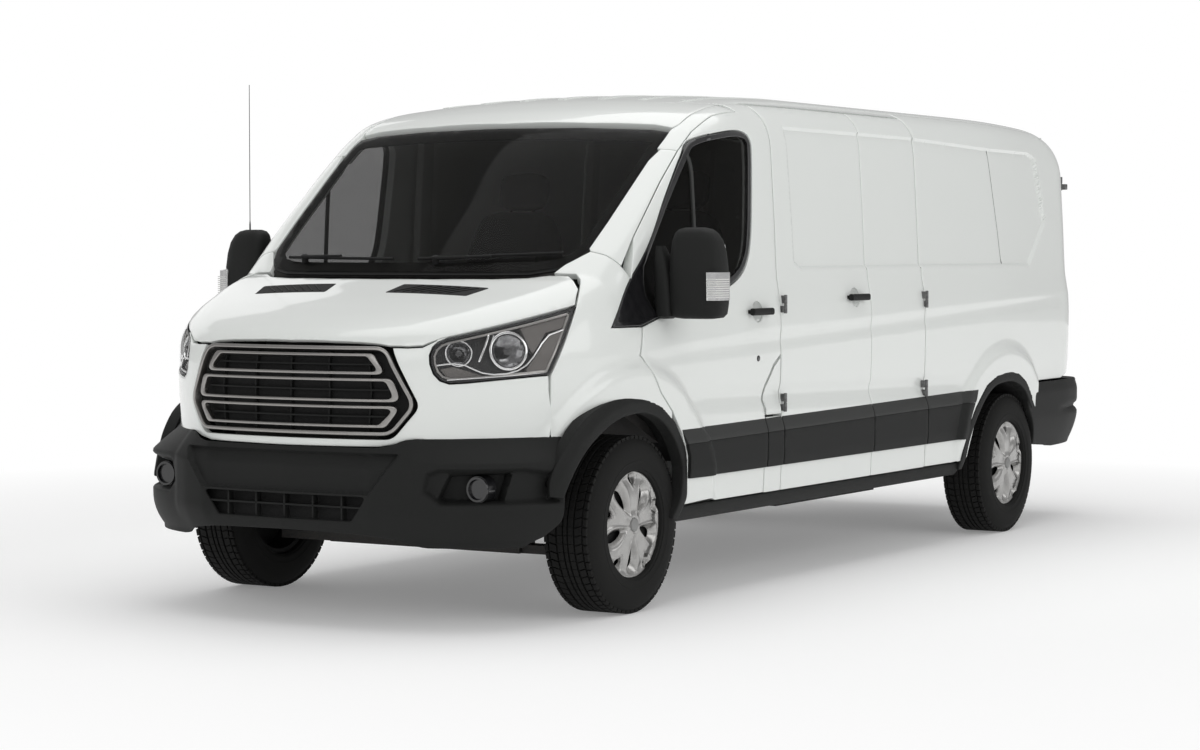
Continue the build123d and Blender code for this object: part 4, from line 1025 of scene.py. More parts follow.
def uAt(y):
    # how far along the bumper a place along the van is
    return float(np.interp(y, [p[1] for p in bumperPlan], planU))


bumperEdge = [(0, 0.690), (0.40, 0.693), (0.47, 0.705), (0.55, 0.726), (0.75, 0.728), (uAt(-0.55), 0.732),
              (uAt(-0.463), 0.745), (uAt(-0.502), 0.701), (uAt(-0.557), 0.624), (uAt(-0.585), 0.545),
              (1.172, 0.505), (1.165, 0.425), (1.092, 0.350), (1.005, 0.314), (0.62, 0.316), (0.47, 0.350),
              (0.30, 0.366), (0, 0.370)]
bumperCreases = [inset(plateOutline, -0.004), inset(plateOutline, 0.007)]
for outline in (fogField, fogHole):
    for amount in (-0.004, 0.009):
        line = inset(outline, amount)
        bumperCreases += [line, [(-u, z) for u, z in line]]
intakeHole = rounded([(-0.385, 0.508), (-0.318, 0.414), (0.318, 0.414), (0.385, 0.508)], 0.012, 3)
bumperLoop = smoothRun(bumperEdge[:7], 0.02) + smoothRun(bumperEdge[7:13], 0.02)
bumperLoop += smoothRun(bumperEdge[13:], 0.02)
bumperLoop = bumperLoop + [(-u, z) for u, z in reversed(bumperLoop) if u > 0.002]
piece("frontBumperSkin", [laid(bumperPlace, [bumperLoop, intakeHole], 0.012, 0.0095, 0.004,
                               lines=bumperCreases)], trimBlack, "van_body", ["front_bumper"], sharp=50)
gridX = (-0.27, -0.135, 0, 0.135, 0.27)
gridBars = [block((x - 0.004, -0.985, 0.40), (x + 0.004, -0.955, 0.52), 0.002) for x in gridX]
gridBars.append(block((-0.40, -0.985, 0.462), (0.40, -0.955, 0.470), 0.002))
piece("intakeGrid", gridBars, trimBlack)
piece("intakeBack", [block((-0.44, -0.945, 0.395), (0.44, -0.935, 0.53), 0.002)], deepBlack)


def fogLamp():
    # round lamp in the recess, facing forward
    centre = np.array([0.750, -0.752, 0.538])
    shapes = []
    for low, high, r0, r1 in ((-0.028, 0.02, 0.054, 0.050), (-0.034, -0.020, 0.050, 0.047)):
        rings = [[(centre[0] + r * math.cos(a), centre[1] + y, centre[2] + r * math.sin(a))
                  for a in around(36)]
                 for y, r in ((high, r0), (low, r1), (low, r1 - 0.008), (low + 0.012, r1 - 0.012))]
        shapes.append(loft(rings))
    cup = []
    for r in (0.042, 0.028, 0.014, 0.004):
        depth = centre[1] - 0.016 + 0.02 * (1 - r / 0.042)
        cup.append([(centre[0] + r * math.cos(a), depth, centre[2] + r * math.sin(a)) for a in around(36)])
    return shapes, [loft(cup)]


for side, word in ((1, "left"), (-1, "right")):
    fogRim, fogBowl = fogLamp()
    piece(word + "FogRim", fogRim if side > 0 else flipped(fogRim), glossBlack)
    piece(word + "FogBowl", fogBowl if side > 0 else flipped(fogBowl), brightChrome)
print("front bumper made")

# Grille
grille = dict(band=0.014, loopBand=0.011, loopEnd=0.026, bar=0.007)
hexagon = rounded([(-0.425, 1.070), (0.425, 1.070), (0.536, 0.850), (0.448, 0.736), (-0.448, 0.736),
                   (-0.536, 0.850)], [0.075, 0.075, 0.07, 0.075, 0.075, 0.07], 7)
piece("grilleFrame", [plate(frontLay, hexagon, 0.03, 0.012, 0.007, edge=0.004,
                            holes=[inset(hexagon, grille["band"])])], satinChrome, "van_body", ["grille"])
piece("grilleBack", [plate(frontLay, inset(hexagon, 0.008), 0.01, 0.03, -0.045, edge=0.001)],
      deepBlack)
loops = (((0.375, 1.045), (0.430, 0.965)), ((0.452, 0.951), (0.485, 0.862)), ((0.485, 0.848), (0.425, 0.765)))
for i, ((topX, topZ), (lowX, lowZ)) in enumerate(loops):
    loopOuter = rounded([(-topX, topZ), (topX, topZ), (lowX, lowZ), (-lowX, lowZ)], 0.032, 6)
    e, b = grille["loopEnd"], grille["loopBand"]
    loopInner = rounded([(-topX + e, topZ - b), (topX - e, topZ - b), (lowX - e, lowZ + b),
                         (-lowX + e, lowZ + b)], 0.024, 6)
    piece("grilleLoop%d" % (i + 1), [plate(frontLay, loopOuter, 0.022, 0.012, 0.001, edge=0.0035,
                                           holes=[loopInner])], satinChrome)
    midZ = (topZ + lowZ) / 2
    x = (topX + lowX) / 2 - 0.03
    line = [(-x, midZ), (-x / 2, midZ), (0, midZ), (x / 2, midZ), (x, midZ)]
    piece("grilleBar%d" % (i + 1), [ribbon(frontLay, line, grille["bar"], 0.02, -0.022, 0.03)], trimBlack)
uprights = [ribbon(frontLay, [(x * 0.97, 0.75), (x, 0.90), (x * 0.96, 1.06)], 0.007, 0.015, -0.030, 0.03)
            for x in (-0.36, -0.18, 0.0, 0.18, 0.36)]
piece("grilleUprights", uprights, trimBlack)
print("grille made")


# Copies of one shape, stepped and turned by a node tree
def repeatTree():
    tree = bpy.data.node_groups.new("repeatAlong", "GeometryNodeTree")
    face = tree.interface
    face.new_socket(name="Geometry", in_out="INPUT", socket_type="NodeSocketGeometry")
    face.new_socket(name="Count", in_out="INPUT", socket_type="NodeSocketInt")
    face.new_socket(name="Step", in_out="INPUT", socket_type="NodeSocketVector")
    face.new_socket(name="Turn", in_out="INPUT", socket_type="NodeSocketVector")
    face.new_socket(name="Material", in_out="INPUT", socket_type="NodeSocketMaterial")
    face.new_socket(name="Geometry", in_out="OUTPUT", socket_type="NodeSocketGeometry")
    n, l = tree.nodes, tree.links
    gin, gout = n.new("NodeGroupInput"), n.new("NodeGroupOutput")
    points, index = n.new("GeometryNodePoints"), n.new("GeometryNodeInputIndex")
    step, turn = n.new("ShaderNodeVectorMath"), n.new("ShaderNodeVectorMath")
    copies, real = n.new("GeometryNodeInstanceOnPoints"), n.new("GeometryNodeRealizeInstances")
    paintAll = n.new("GeometryNodeSetMaterial")
    for node, key in ((step, "Step"), (turn, "Turn")):
        node.operation = "SCALE"
        l.new(gin.outputs[key], node.inputs[0])
        l.new(index.outputs[0], node.inputs["Scale"])
    l.new(gin.outputs["Count"], points.inputs["Count"])
    l.new(step.outputs[0], points.inputs["Position"])
    l.new(points.outputs[0], copies.inputs["Points"])
    l.new(gin.outputs["Geometry"], copies.inputs["Instance"])
    l.new(turn.outputs[0], copies.inputs["Rotation"])
    l.new(copies.outputs[0], real.inputs[0])
    l.new(real.outputs[0], paintAll.inputs["Geometry"])
    l.new(gin.outputs["Material"], paintAll.inputs["Material"])
    l.new(paintAll.outputs[0], gout.inputs[0])
    return tree


copyTree = repeatTree()


def repeated(shape, count, material, step=(0, 0, 0), turn=(0, 0, 0)):
    # the shape's copies as one shape
    mesh = bpy.data.meshes.new("source")
    mesh.from_pydata(np.asarray(shape[0], float).tolist(), [], [tuple(int(i) for i in f) for f in shape[1]])
    o = bpy.data.objects.new("source", mesh)
    bpy.context.scene.collection.objects.link(o)
    run = o.modifiers.new("copies", "NODES")
    run.node_group = copyTree
    keys = {item.name: item.identifier for item in copyTree.interface.items_tree if item.in_out == "INPUT"}
    run[keys["Count"]], run[keys["Step"]], run[keys["Turn"]] = count, step, turn
    run[keys["Material"]] = material
    bpy.context.view_layer.update()
    done = bpy.data.meshes.new_from_object(o.evaluated_get(bpy.context.evaluated_depsgraph_get()))
    verts = np.empty(len(done.vertices) * 3)
    done.vertices.foreach_get("co", verts)
    faces = [tuple(p.vertices) for p in done.polygons]
    bpy.data.objects.remove(o)
    bpy.data.meshes.remove(done)
    bpy.data.meshes.remove(mesh)
    return verts.reshape(-1, 3), faces


# Wheels, built round the X axis with +X outwards
wheel = dict(tyreHalf=0.1175, rimR=0.208, treadPitch=64, treadDepth=0.009, face=0.094, spokes=5,
             pocketDepth=0.024, holeLong=0.046, holeWide=0.0185)


def latheX(profile, count=96):
    # closed turned body; profile is (x, radius)
    rings = [[(x, r * math.cos(a), r * math.sin(a)) for a in around(count)]
             for x, r in profile]
    return loft(rings + [rings[0]], caps=False)


h = wheel["tyreHalf"]
carcassR = tyreRadius - wheel["treadDepth"]
shoulder = [(h * 0.98, 0.243), (h, 0.268), (h * 0.985, 0.296), (h * 0.93, 0.318), (h * 0.86, 0.332),
            (h * 0.78, carcassR - 0.001)]
sidewall = [(h - 0.022, wheel["rimR"] + 0.001), (h - 0.010, 0.213), (h - 0.006, 0.222), (h - 0.0035, 0.2225),
            (h - 0.002, 0.230)] + shoulder[:1] + [(h + 0.0006, 0.252), (h - 0.0005, 0.2535)] + shoulder[1:]
tyreProfile = sidewall + [(x, carcassR) for x in np.linspace(0.07, -0.07, 8)]
tyreProfile += [(-x, r) for x, r in reversed(sidewall)]
tyreBody = latheX(tyreProfile, 128)
pitch = 2 * math.pi / wheel["treadPitch"]
spokeTurn = 360 / wheel["spokes"]


def treadBlock(xLow, xHigh, slant, share=0.86):
    # one tread block on the carcass, from one pitch
    corners = []
    for r in (carcassR - 0.004, tyreRadius - 0.0012, tyreRadius):
        back = 0.001 if r == tyreRadius else 0.0
        ring = []
        for x, a in ((xLow + back, 0.0), (xHigh - back, 0.0), (xHigh - back, 1.0), (xLow + back, 1.0)):
            t = (a - 0.5) * (share - back * 30) * pitch + slant * (x - (xLow + xHigh) / 2)
            ring.append((x, r * math.sin(t), r * math.cos(t)))
        corners.append(ring)
    return loft(corners)


treadRows = [(-0.112, -0.080, 0.25), (-0.074, -0.044, -0.9), (-0.036, -0.014, 0.0), (-0.007, 0.007, 0.0),
             (0.014, 0.036, 0.0), (0.044, 0.074, 0.9), (0.080, 0.112, -0.25)]
tread = []
for i, (xLow, xHigh, slant) in enumerate(treadRows):
    edgeRow = i in (0, len(treadRows) - 1)
    shape = treadBlock(max(xLow, -0.096), min(xHigh, 0.096), slant,
                       0.80 if edgeRow else (0.96 if i in (2, 3, 4) else 0.84))
    tread.append(repeated(shape, wheel["treadPitch"], tyreBlack, turn=(pitch, 0, 0)))


def coverRelief(a, b):
    # depth of the wheel cover's face behind its front plane
    r = np.hypot(a, b)
    base = curve([(0, 0.010), (0.035, 0.010), (0.060, 0.006), (0.10, 0.008), (0.150, 0.004),
                  (0.188, -0.004), (0.200, 0.0), (0.209, 0.002), (0.214, -0.006)])(r)
    out = base
    for i in range(wheel["spokes"]):
        for angle, centre, length, wide, deep in ((270 + spokeTurn * i, 0.124, 0.074, 0.035, 1.0),
                                                  (90 + spokeTurn * i, 0.183, 0.034, 0.027, 0.8)):
            t = math.radians(angle)
            u = a * math.cos(t) + b * math.sin(t) - centre
            v = -a * math.sin(t) + b * math.cos(t)
            q = np.hypot(u / length, v / (wide * (1 + 0.55 * np.clip(u / length, -1, 1))))
            out = out - wheel["pocketDepth"] * deep * (1 - smooth(q, 0.50, 1.05))
            out = out + 0.003 * np.exp(-((q - 1.16) / 0.14) ** 2) * (r < 0.196)
    return out


def coverPlace(a, b):
    # place on the wheel cover's face
    return np.column_stack([wheel["face"] + coverRelief(a, b), a, b])


def polarHole(angle, centre, length, wide, taper=0.35, count=22):
    # egg-shaped hole on a radius of the wheel cover
    t0 = math.radians(angle)
    out = []
    for i in range(count):
        s = 2 * math.pi * i / count
        u = centre + length * math.cos(s)
        v = wide * math.sin(s) * (1 + taper * math.cos(s))
        out.append((u * math.cos(t0) - v * math.sin(t0), u * math.sin(t0) + v * math.cos(t0)))
    return out


coverHoles = [polarHole(270 + spokeTurn * i, 0.122, wheel["holeLong"], wheel["holeWide"])
              for i in range(wheel["spokes"])]
coverHoles += [polarHole(90 + spokeTurn * i, 0.180, 0.021, 0.0145, 0.2, 14) for i in range(wheel["spokes"])]
coverShape = laid(coverPlace, [circle(0, 0, 0.2125, 96)] + coverHoles, 0.004, 0.0036, 0.0012)
capShape = latheX([(wheel["face"] + x, r) for x, r in ((0.004, 0.0005), (0.0185, 0.0005), (0.018, 0.018),
                                                       (0.0155, 0.026), (0.010, 0.029), (0.004, 0.029))], 48)
backShape = latheX([(0.02, 0.0005), (0.058, 0.0005), (0.058, 0.195), (0.075, 0.206), (0.088, 0.2095),
                    (0.060, 0.211), (-0.09, 0.209), (-0.09, 0.190), (0.02, 0.185)], 72)


def wheelAt(centre, shapes):
    # wheel shapes moved to a tyre's middle, with their face turned out
    facing = shapes if centre[0] > 0 else flipped(shapes)
    return [(np.asarray(v) + centre, f) for v, f in facing]


for name in ("front_left", "front_right", "rear_left", "rear_right"):
    low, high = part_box(name + "_tyre")
    centre = np.array([(low.x + high.x) / 2, (low.y + high.y) / 2, (low.z + high.z) / 2])
    rides = name + "_wheel"
    piece(name + "Tyre", wheelAt(centre, [tyreBody] + tread), tyreBlack, rides, [name + "_tyre"],
          placed=True, sharp=35)
    piece(name + "Cover", wheelAt(centre, [coverShape]), wheelSilver, rides, [name + "_rim"], placed=True,
          sharp=50)
    piece(name + "Cap", wheelAt(centre, [capShape]), capGrey, rides, placed=True)
    piece(name + "RimBack", wheelAt(centre, [backShape]), deepBlack, rides, placed=True)
print("wheels made")

# Headlamps, (s, z) on the diagonal plane
lampLoop = rounded(lampOutline, [0.004, 0.004] + [0.012] * len(lampEnd), 3)
lampIn = inset(lampLoop, 0.012)


def inLamp(points, width, thickness=0.01, push=-0.006):
    # bright strip inside a headlamp
    return ribbon(lampLay, points, width, thickness, push, 0.008)


def bowl(s, z, radius, front, depth, step=0.007):
    # cupped reflector
    def cup(ab):
        away = ((ab[:, 0] - s) ** 2 + (ab[:, 1] - z) ** 2) / radius ** 2
        return front - depth * np.sqrt(np.maximum(1 - away, 0))

    return skin(lampLay, circle(s, z, radius, 44), 0.002, step, edge=0.0006, gap=0, push=cup)


def ringOf(s, z, radius, width, front, thickness=0.008):
    # ring round a reflector
    return plate(lampLay, circle(s, z, radius, 48), thickness, 0.008, front, edge=0.0015,
                 holes=[circle(s, z, radius - width, 44)])


signalShape = rounded([(0.178, 0.972), (0.292, 0.968), (0.392, 1.190), (0.350, 1.134), (0.284, 1.119),
                       (0.226, 1.035)], [0.01, 0.006, 0.004, 0.02, 0.03, 0.03], 5)
upperShape = [(0.198, 1.070), (0.215, 1.040), (0.276, 1.126), (0.350, 1.141), (0.398, 1.205),
              (0.215, 1.163), (0.17, 1.148)]
pair("LampHousing", [plate(lampLay, lampIn, 0.01, 0.02, -0.045, edge=0.001)], lampDark,
     replaced=(["headlamps"], []))
pair("LampRim", [skin(lampLay, lampLoop, 0.045, 0.012, holes=[lampIn], edge=0.003, push=level(-0.003))],
     lampDark)
pair("LampTrim", [plate(lampLay, inset(lampLoop, 0.014), 0.008, 0.010, -0.010, edge=0.0012,
                        holes=[inset(lampLoop, 0.021)])], satinChrome)
pair("LampBowls", [bowl(-0.078, 1.047, 0.047, -0.016, 0.026), bowl(0.115, 1.055, 0.066, -0.014, 0.030)],
     lampMirror)
pair("LampRings", [ringOf(0.115, 1.055, 0.076, 0.009, -0.008, 0.012),
                   ringOf(-0.078, 1.047, 0.052, 0.005, -0.012)], brightChrome)
pair("LampBulbs", [bowl(-0.078, 1.047, 0.013, -0.022, -0.010, 0.004),
                   bowl(0.115, 1.055, 0.018, -0.020, -0.012, 0.005)], glossBlack)
pair("LampStrip", [inLamp([(0.041, 1.118), (0.020, 1.066), (-0.003, 1.012)], 0.0075, 0.020, -0.005),
                   inLamp([(0.060, 1.118), (0.048, 1.085)], 0.004, 0.015, -0.008)], brightChrome)
lampSweep = [(-0.164, 1.000), (-0.130, 1.005), (-0.095, 1.007), (-0.054, 1.000), (-0.02, 0.984),
             (0.012, 0.971), (0.055, 0.965), (0.105, 0.967), (0.150, 0.978), (0.185, 0.998), (0.214, 1.030),
             (0.250, 1.080), (0.284, 1.113), (0.350, 1.133)]
lampFoot = [(-0.125, 0.945), (0.05, 0.955), (0.20, 0.963), (0.278, 0.968)]
pair("LampCurve", [inLamp(lampSweep, 0.006, 0.022, -0.007), inLamp(lampFoot, 0.005, 0.012, -0.009)],
     brightChrome)
pair("LampSignal", [plate(lampLay, signalShape, 0.02, 0.010, -0.012, edge=0.002)], lampGrey)
pair("LampUpper", [plate(lampLay, upperShape, 0.02, 0.010, -0.016, edge=0.002)], lampGrey)
pair("LampLower", [plate(lampLay, [(-0.150, 0.985), (-0.10, 0.995), (-0.03, 0.975), (0.02, 0.958),
                                   (-0.12, 0.950)], 0.01, 0.008, -0.022, edge=0.001)], lampGrey)
pair("LampLens", [plate(lampLay, inset(lampLoop, 0.004), 0.002, 0.014, -0.001, edge=0.0008)], lensClear)
print("headlamps made")

# Bonnet vents, cowl and wipers
vent = dict(ribs=9, ribWidth=0.005)
ventPoints = [(0.145, -0.533, 1.277), (0.513, -0.513, 1.271), (0.552, -0.404, 1.303), (0.165, -0.426, 1.308)]
ventFlat = bonnetLay.flat(ventPoints)
ventLoop = rounded(ventFlat, 0.010, 4)
ventShapes = [plate(bonnetLay, ventLoop, 0.008, 0.012, 0.0008, edge=0.001)]
ribShapes = []
for i in range(vent["ribs"]):
    t = (i + 0.7) / (vent["ribs"] + 0.4)
    p0 = tuple(np.array(ventFlat[0]) * (1 - t) + np.array(ventFlat[1]) * t)
    p1 = tuple(np.array(ventFlat[3]) * (1 - t) + np.array(ventFlat[2]) * t)
    slant = 0.035
    q0 = (p0[0] + (p1[0] - p0[0]) * 0.12 - slant, p0[1] + (p1[1] - p0[1]) * 0.12)
    q1 = (p0[0] + (p1[0] - p0[0]) * 0.88 + slant, p0[1] + (p1[1] - p0[1]) * 0.88)
    if min(q0[0], q1[0]) > ventFlat[0][0] + 0.005 and max(q0[0], q1[0]) < ventFlat[1][0] + 0.01:
        ribShapes.append(ribbon(bonnetLay, [q0, ((q0[0] + q1[0]) / 2, (q0[1] + q1[1]) / 2), q1],
                                vent["ribWidth"], 0.006, 0.004, 0.02))
for side, word in ((1, "left"), (-1, "right")):
    piece(word + "Vent", ventShapes if side > 0 else flipped(ventShapes), deepBlack, "bonnet")
    piece(word + "VentRibs", ribShapes if side > 0 else flipped(ribShapes), trimBlack, "bonnet")
cowlHalf = flatOf(bonnetLay, frontLay.on([(0, 1.318), (0.25, 1.318), (0.5, 1.320), (0.65, 1.330),
                                          (0.70, 1.345)]),
                  frontLay.on([(0.74, 1.39), (0.72, 1.41), (0.60, 1.375), (0.45, 1.368), (0.2, 1.366),
                               (0, 1.366)]))
cowlLoop = cowlHalf + [(-a, b) for a, b in reversed(cowlHalf) if a > 0.004]
piece("cowl", [plate(bonnetLay, cowlLoop, 0.02, 0.012, -0.034, edge=0.002)], trimBlack)


def wiper(pivot, bend, tipIn, tipOut, lift=0.018):
    # arm and blade lying over the glass, (x, z) seen from the front
    arm = frontLay.on([pivot, ((pivot[0] + bend[0]) / 2, (pivot[1] + bend[1]) / 2), bend])
    shares = np.linspace(0, 1, 14)
    blade = frontLay.on([tuple(np.array(tipIn) * (1 - t) + np.array(tipOut) * t) for t in shares])
    up = np.array([0, -0.7, 0.7])
    hubEnds = frontLay.on([pivot, (pivot[0] + 0.002, pivot[1] + 0.001)])
    hub = tube(hubEnds + np.array([[0, 0, -0.01], [0, -0.012, 0.02]]), 0.014, 16)
    return [tube(arm + up * lift, [0.009, 0.007, 0.006]), tube(blade + up * 0.012, 0.0055, 8),
            tube(blade + up * 0.006, 0.003, 6), hub]


piece("wipers", wiper((0.18, 1.388), (0.42, 1.396), (0.10, 1.390), (0.70, 1.414)) +
      wiper((-0.52, 1.392), (-0.30, 1.397), (-0.62, 1.396), (-0.02, 1.390)), deepBlack)
print("cowl made")


# Mirrors
def superRing(cx, cy, hx, hy, z, count=40, power=3.4, skew=0.0):
    # level ring between a box and an ellipse
    ring = []
    for a in around(count):
        c, s = math.cos(a), math.sin(a)
        x = abs(c) ** (2 / power) * math.copysign(1, c) * hx
        y = abs(s) ** (2 / power) * math.copysign(1, s) * hy
        ring.append((cx + x, cy + y + skew * x, z))
    return ring


headRows = [        # (x, y, half width, half depth, z)
    (1.124, 0.245, 0.060, 0.030, 1.160), (1.126, 0.243, 0.094, 0.055, 1.165),
    (1.128, 0.241, 0.106, 0.066, 1.180),
    (1.130, 0.240, 0.110, 0.071, 1.22), (1.130, 0.240, 0.111, 0.073, 1.28),
    (1.128, 0.240, 0.109, 0.072, 1.36),
    (1.125, 0.242, 0.104, 0.070, 1.42), (1.120, 0.244, 0.095, 0.065, 1.468),
    (1.114, 0.246, 0.080, 0.056, 1.500),
    (1.110, 0.248, 0.062, 0.044, 1.516), (1.107, 0.249, 0.036, 0.026, 1.523)]
mirrorHead = loft([superRing(*row, skew=0.12) for row in headRows])
mirrorArms = [block((0.945, 0.185, 1.196), (1.06, 0.243, 1.236), 0.008, 0.015),
              block((0.965, 0.185, 1.306), (1.06, 0.243, 1.350), 0.008, 0.015)]
footRows = [(1.000, 0.205, 0.020, 0.030, 1.160), (1.002, 0.207, 0.034, 0.046, 1.170),
            (1.000, 0.208, 0.036, 0.050, 1.24), (0.995, 0.206, 0.032, 0.044, 1.32),
            (0.985, 0.203, 0.026, 0.036, 1.40), (0.975, 0.2, 0.014, 0.022, 1.45)]
mirrorFoot = loft([superRing(*row, 28, 4.0) for row in footRows])


def mirrorFace(x, z):
    # upright plane that the mirror glasses lie on
    return np.column_stack([x, np.full(np.shape(x), 0.3145) + (x - 1.13) * 0.12, z])


mirrorGlass = laid(mirrorFace, [rounded([(1.055, 1.295), (1.215, 1.295), (1.200, 1.455), (1.170, 1.485),
                                         (1.075, 1.485)], 0.03)], 0.003, 0.03, 0.001)
wideGlass = laid(mirrorFace, [rounded([(1.055, 1.195), (1.215, 1.195), (1.215, 1.280), (1.055, 1.280)],
                                      0.02)], 0.003, 0.03, 0.001)
signalBody = [superRing(1.2175, 0.230, 0.0285, 0.062, z, 28, 4.5, 0.12) for z in (1.234, 1.238, 1.330, 1.345)]
signalBody.append(superRing(1.210, 0.230, 0.018, 0.050, 1.352, 28, 4.5, 0.12))
signalRib = block((1.200, 0.166, 1.245), (1.2475, 0.276, 1.2492), 0.0008, 0.006)
signalRibs = repeated(signalRib, 9, lensWhite, step=(0, 0, 0.0088))
pair("MirrorHead", [mirrorHead] + mirrorArms + [mirrorFoot], trimBlack, doorBodies,
     (["left_mirror"], ["right_mirror"]))
pair("MirrorGlass", [mirrorGlass, wideGlass], brightChrome, doorBodies)
pair("MirrorSignal", [loft(signalBody)], brightChrome, doorBodies)
pair("MirrorLens", [signalRibs], lensWhite, doorBodies)
print("mirrors made")

# Handles, lock, hinges
handle = dict(cupR=0.0435, cupDepth=0.022, barThick=0.0125)


def handleAt(y, z):
    # bar handle on two posts
    x = float(sideLay.on([(y, z)])[0][0])
    bar = [superRing(0, 0, handle["barThick"], handle["barThick"] * 1.2, s, 20, 3.0) for s in
           (-0.090, -0.088, -0.08, 0.08, 0.088, 0.090)]
    rings = []
    for i, ring in enumerate(bar):
        k = 0.75 if i in (0, len(bar) - 1) else 1
        rings.append([(x + 0.022 + px * k, y + s, z + py * k) for px, py, s in ring])
    posts = [block((x - 0.004, y + s - 0.012, z - 0.008), (x + 0.022, y + s + 0.012, z + 0.008), 0.003)
             for s in (-0.072, 0.072)]
    return [loft(rings)] + posts


def cupAt(y, z):
    # round hollow behind a handle
    def cup(ab):
        away = ((ab[:, 0] - y) ** 2 + (ab[:, 1] - z) ** 2) / handle["cupR"] ** 2
        return -0.0012 - handle["cupDepth"] * np.sqrt(np.maximum(1 - away, 0))

    return skin(sideLay, circle(y, z, handle["cupR"], 44), 0.003, 0.005, edge=0.0012, gap=0, push=cup)


pair("DoorHandle", handleAt(*grips["door"]), trimBlack, doorBodies)
pair("DoorCup", [cupAt(*grips["door"])], paint, doorBodies)
piece("leafHandle", handleAt(*grips["leaf"]), trimBlack, "side_door_front_leaf")
piece("leafCup", [cupAt(*grips["leaf"])], paint, "side_door_front_leaf")
lockShape = [plate(sideLay, circle(0.981, 0.976, 0.013, 28), 0.01, 0.006, 0.003, edge=0.002)]
pair("DoorLock", lockShape, glossBlack, doorBodies)


def roundBar(x, y, low, high, radius, count=20):
    # upright bar with small chamfers
    c = 0.0015
    ends = ((low, radius - c), (low + c, radius), (high - c, radius), (high, radius - c))
    return loft([[(x + r * math.cos(a), y + r * math.sin(a), z) for a in around(count)] for z, r in ends])


for y, inward, leafBody in ((bLine + 0.014, 1, "side_door_front_leaf"),
                            (rLine - 0.014, -1, "side_door_rear_leaf")):
    for low in (0.740, 1.162):
        fixed = [roundBar(1.016, y, low, low + 0.040, 0.0075)]
        fixed.append(block((0.985, min(y, y - inward * 0.012), low + 0.004),
                           (1.014, max(y, y - inward * 0.012), low + 0.032), 0.002))
        moving = [roundBar(1.016, y, low + 0.0404, low + 0.080, 0.0075)]
        moving.append(block((0.992, min(y, y + inward * 0.014), low + 0.043),
                            (1.0155, max(y, y + inward * 0.014), low + 0.077), 0.002))
        word = "front" if inward > 0 else "rear"
        piece(word + "LeafHingeFixed%d" % round(low * 1000), fixed, steelGrey)
        piece(word + "LeafHingeMoving%d" % round(low * 1000), moving, steelGrey, leafBody)
seamLine = ribbon(sideLay, [(3.559, 1.936), (3.600, 1.75), (3.645, 1.54), (3.683, 1.362)], 0.006, 0.003,
                  0.0006, 0.03)
pair("QuarterSeam", [seamLine], deepBlack)
print("handles and hinges made")

# Rear end
rearBumperPlan = [(1.003, 3.93), (1.001, 4.15), (0.992, 4.49), (0.972, 4.68), (0.940, 4.80), (0.885, 4.893),
                  (0.800, 4.942), (0.60, 4.955), (0, 4.958)]
backU = runLength(rearBumperPlan)
backX = curve(list(zip(backU, [p[0] for p in rearBumperPlan])))
backY = curve(list(zip(backU, [p[1] for p in rearBumperPlan])))
backEnd = float(backU[-1])


def rearBumperPlace(u, z):
    # u runs from the left arch round the back to the right arch
    a = np.where(u > backEnd, 2 * backEnd - u, u)
    sign = np.where(u > backEnd, -1, 1)
    x, y = sign * backX(a), backY(a)
    e = 0.012
    n = np.column_stack([backY(a + e) - backY(a - e), -(backX(a + e) - backX(a - e))])
    n = n / np.linalg.norm(n, axis=1)[:, None] * np.column_stack([sign, np.ones(len(a))])
    ridge = 0.022 * np.exp(-((z - 0.600) / 0.016) ** 2) * smooth(a, 0.45, 0.75)
    out = -0.012 * smooth(z, 0.69, 0.748) - ridge
    out = out - 0.05 * np.clip((0.57 - z) / 0.16, 0, 1) ** 1.6
    return np.column_stack([x + n[:, 0] * out, y + n[:, 1] * out, z])


rearLoop = [(0.0, 0.752), (0.25, 0.748), (0.8, 0.748), (backEnd, 0.748), (2 * backEnd - 0.8, 0.748),
            (2 * backEnd, 0.752), (2 * backEnd, 0.70), (2 * backEnd - 0.20, 0.42),
            (2 * backEnd - 0.5, 0.398), (backEnd, 0.405), (0.5, 0.398), (0.20, 0.42), (0.04, 0.62)]
piece("rearBumperSkin", [laid(rearBumperPlace, [rearLoop], 0.03, 0.014, 0.006)], trimBlack, "van_body",
      ["rear_bumper"])
stepHalf = [(0, rearFace + 0.002), (0.80, rearFace - 0.002), (0.93, rearFace - 0.08),
            (0.955, rearFace - 0.10), (0.935, 4.785), (0.875, 4.878), (0.795, 4.925), (0.60, 4.94),
            (0, 4.943)]
stepLoop = stepHalf + [(-x, y) for x, y in reversed(stepHalf) if x > 0]


def stepFace(x, y):
    return np.column_stack([x, y, np.full(np.shape(x), 0.744)])


piece("bumperStep", [laid(stepFace, [stepLoop], 0.02, 0.03, 0.004)], trimBlack)
stepRib = block((-0.60, 4.835, 0.742), (0.60, 4.842, 0.748), 0.001)
piece("stepRibs", [repeated(stepRib, 6, bevelBlack, step=(0, 0.016, 0))], bevelBlack)
tail = flatOf(quarterLay, along([(0.812, 0.800), (0.812, 1.330)], rearLay, 0.06),
              along([(rearFace - 0.075, 1.325), (rearFace - 0.060, 1.06), (rearFace - 0.075, 0.80)],
                    sideLay, 0.06))
pair("TailLamp", [plate(quarterLay, tail, 0.02, 0.012, 0.006, edge=0.004)], redLens, ("van_body", "van_body"),
     (["tail_lamps"], []))
tailMid = flatOf(quarterLay, along([(0.817, 0.985), (0.817, 1.10)], rearLay, 0.03),
                 along([(rearFace - 0.064, 1.10), (rearFace - 0.062, 0.985)], sideLay, 0.03))
pair("TailClear", [plate(quarterLay, tailMid, 0.012, 0.012, 0.0085)], lensWhite)
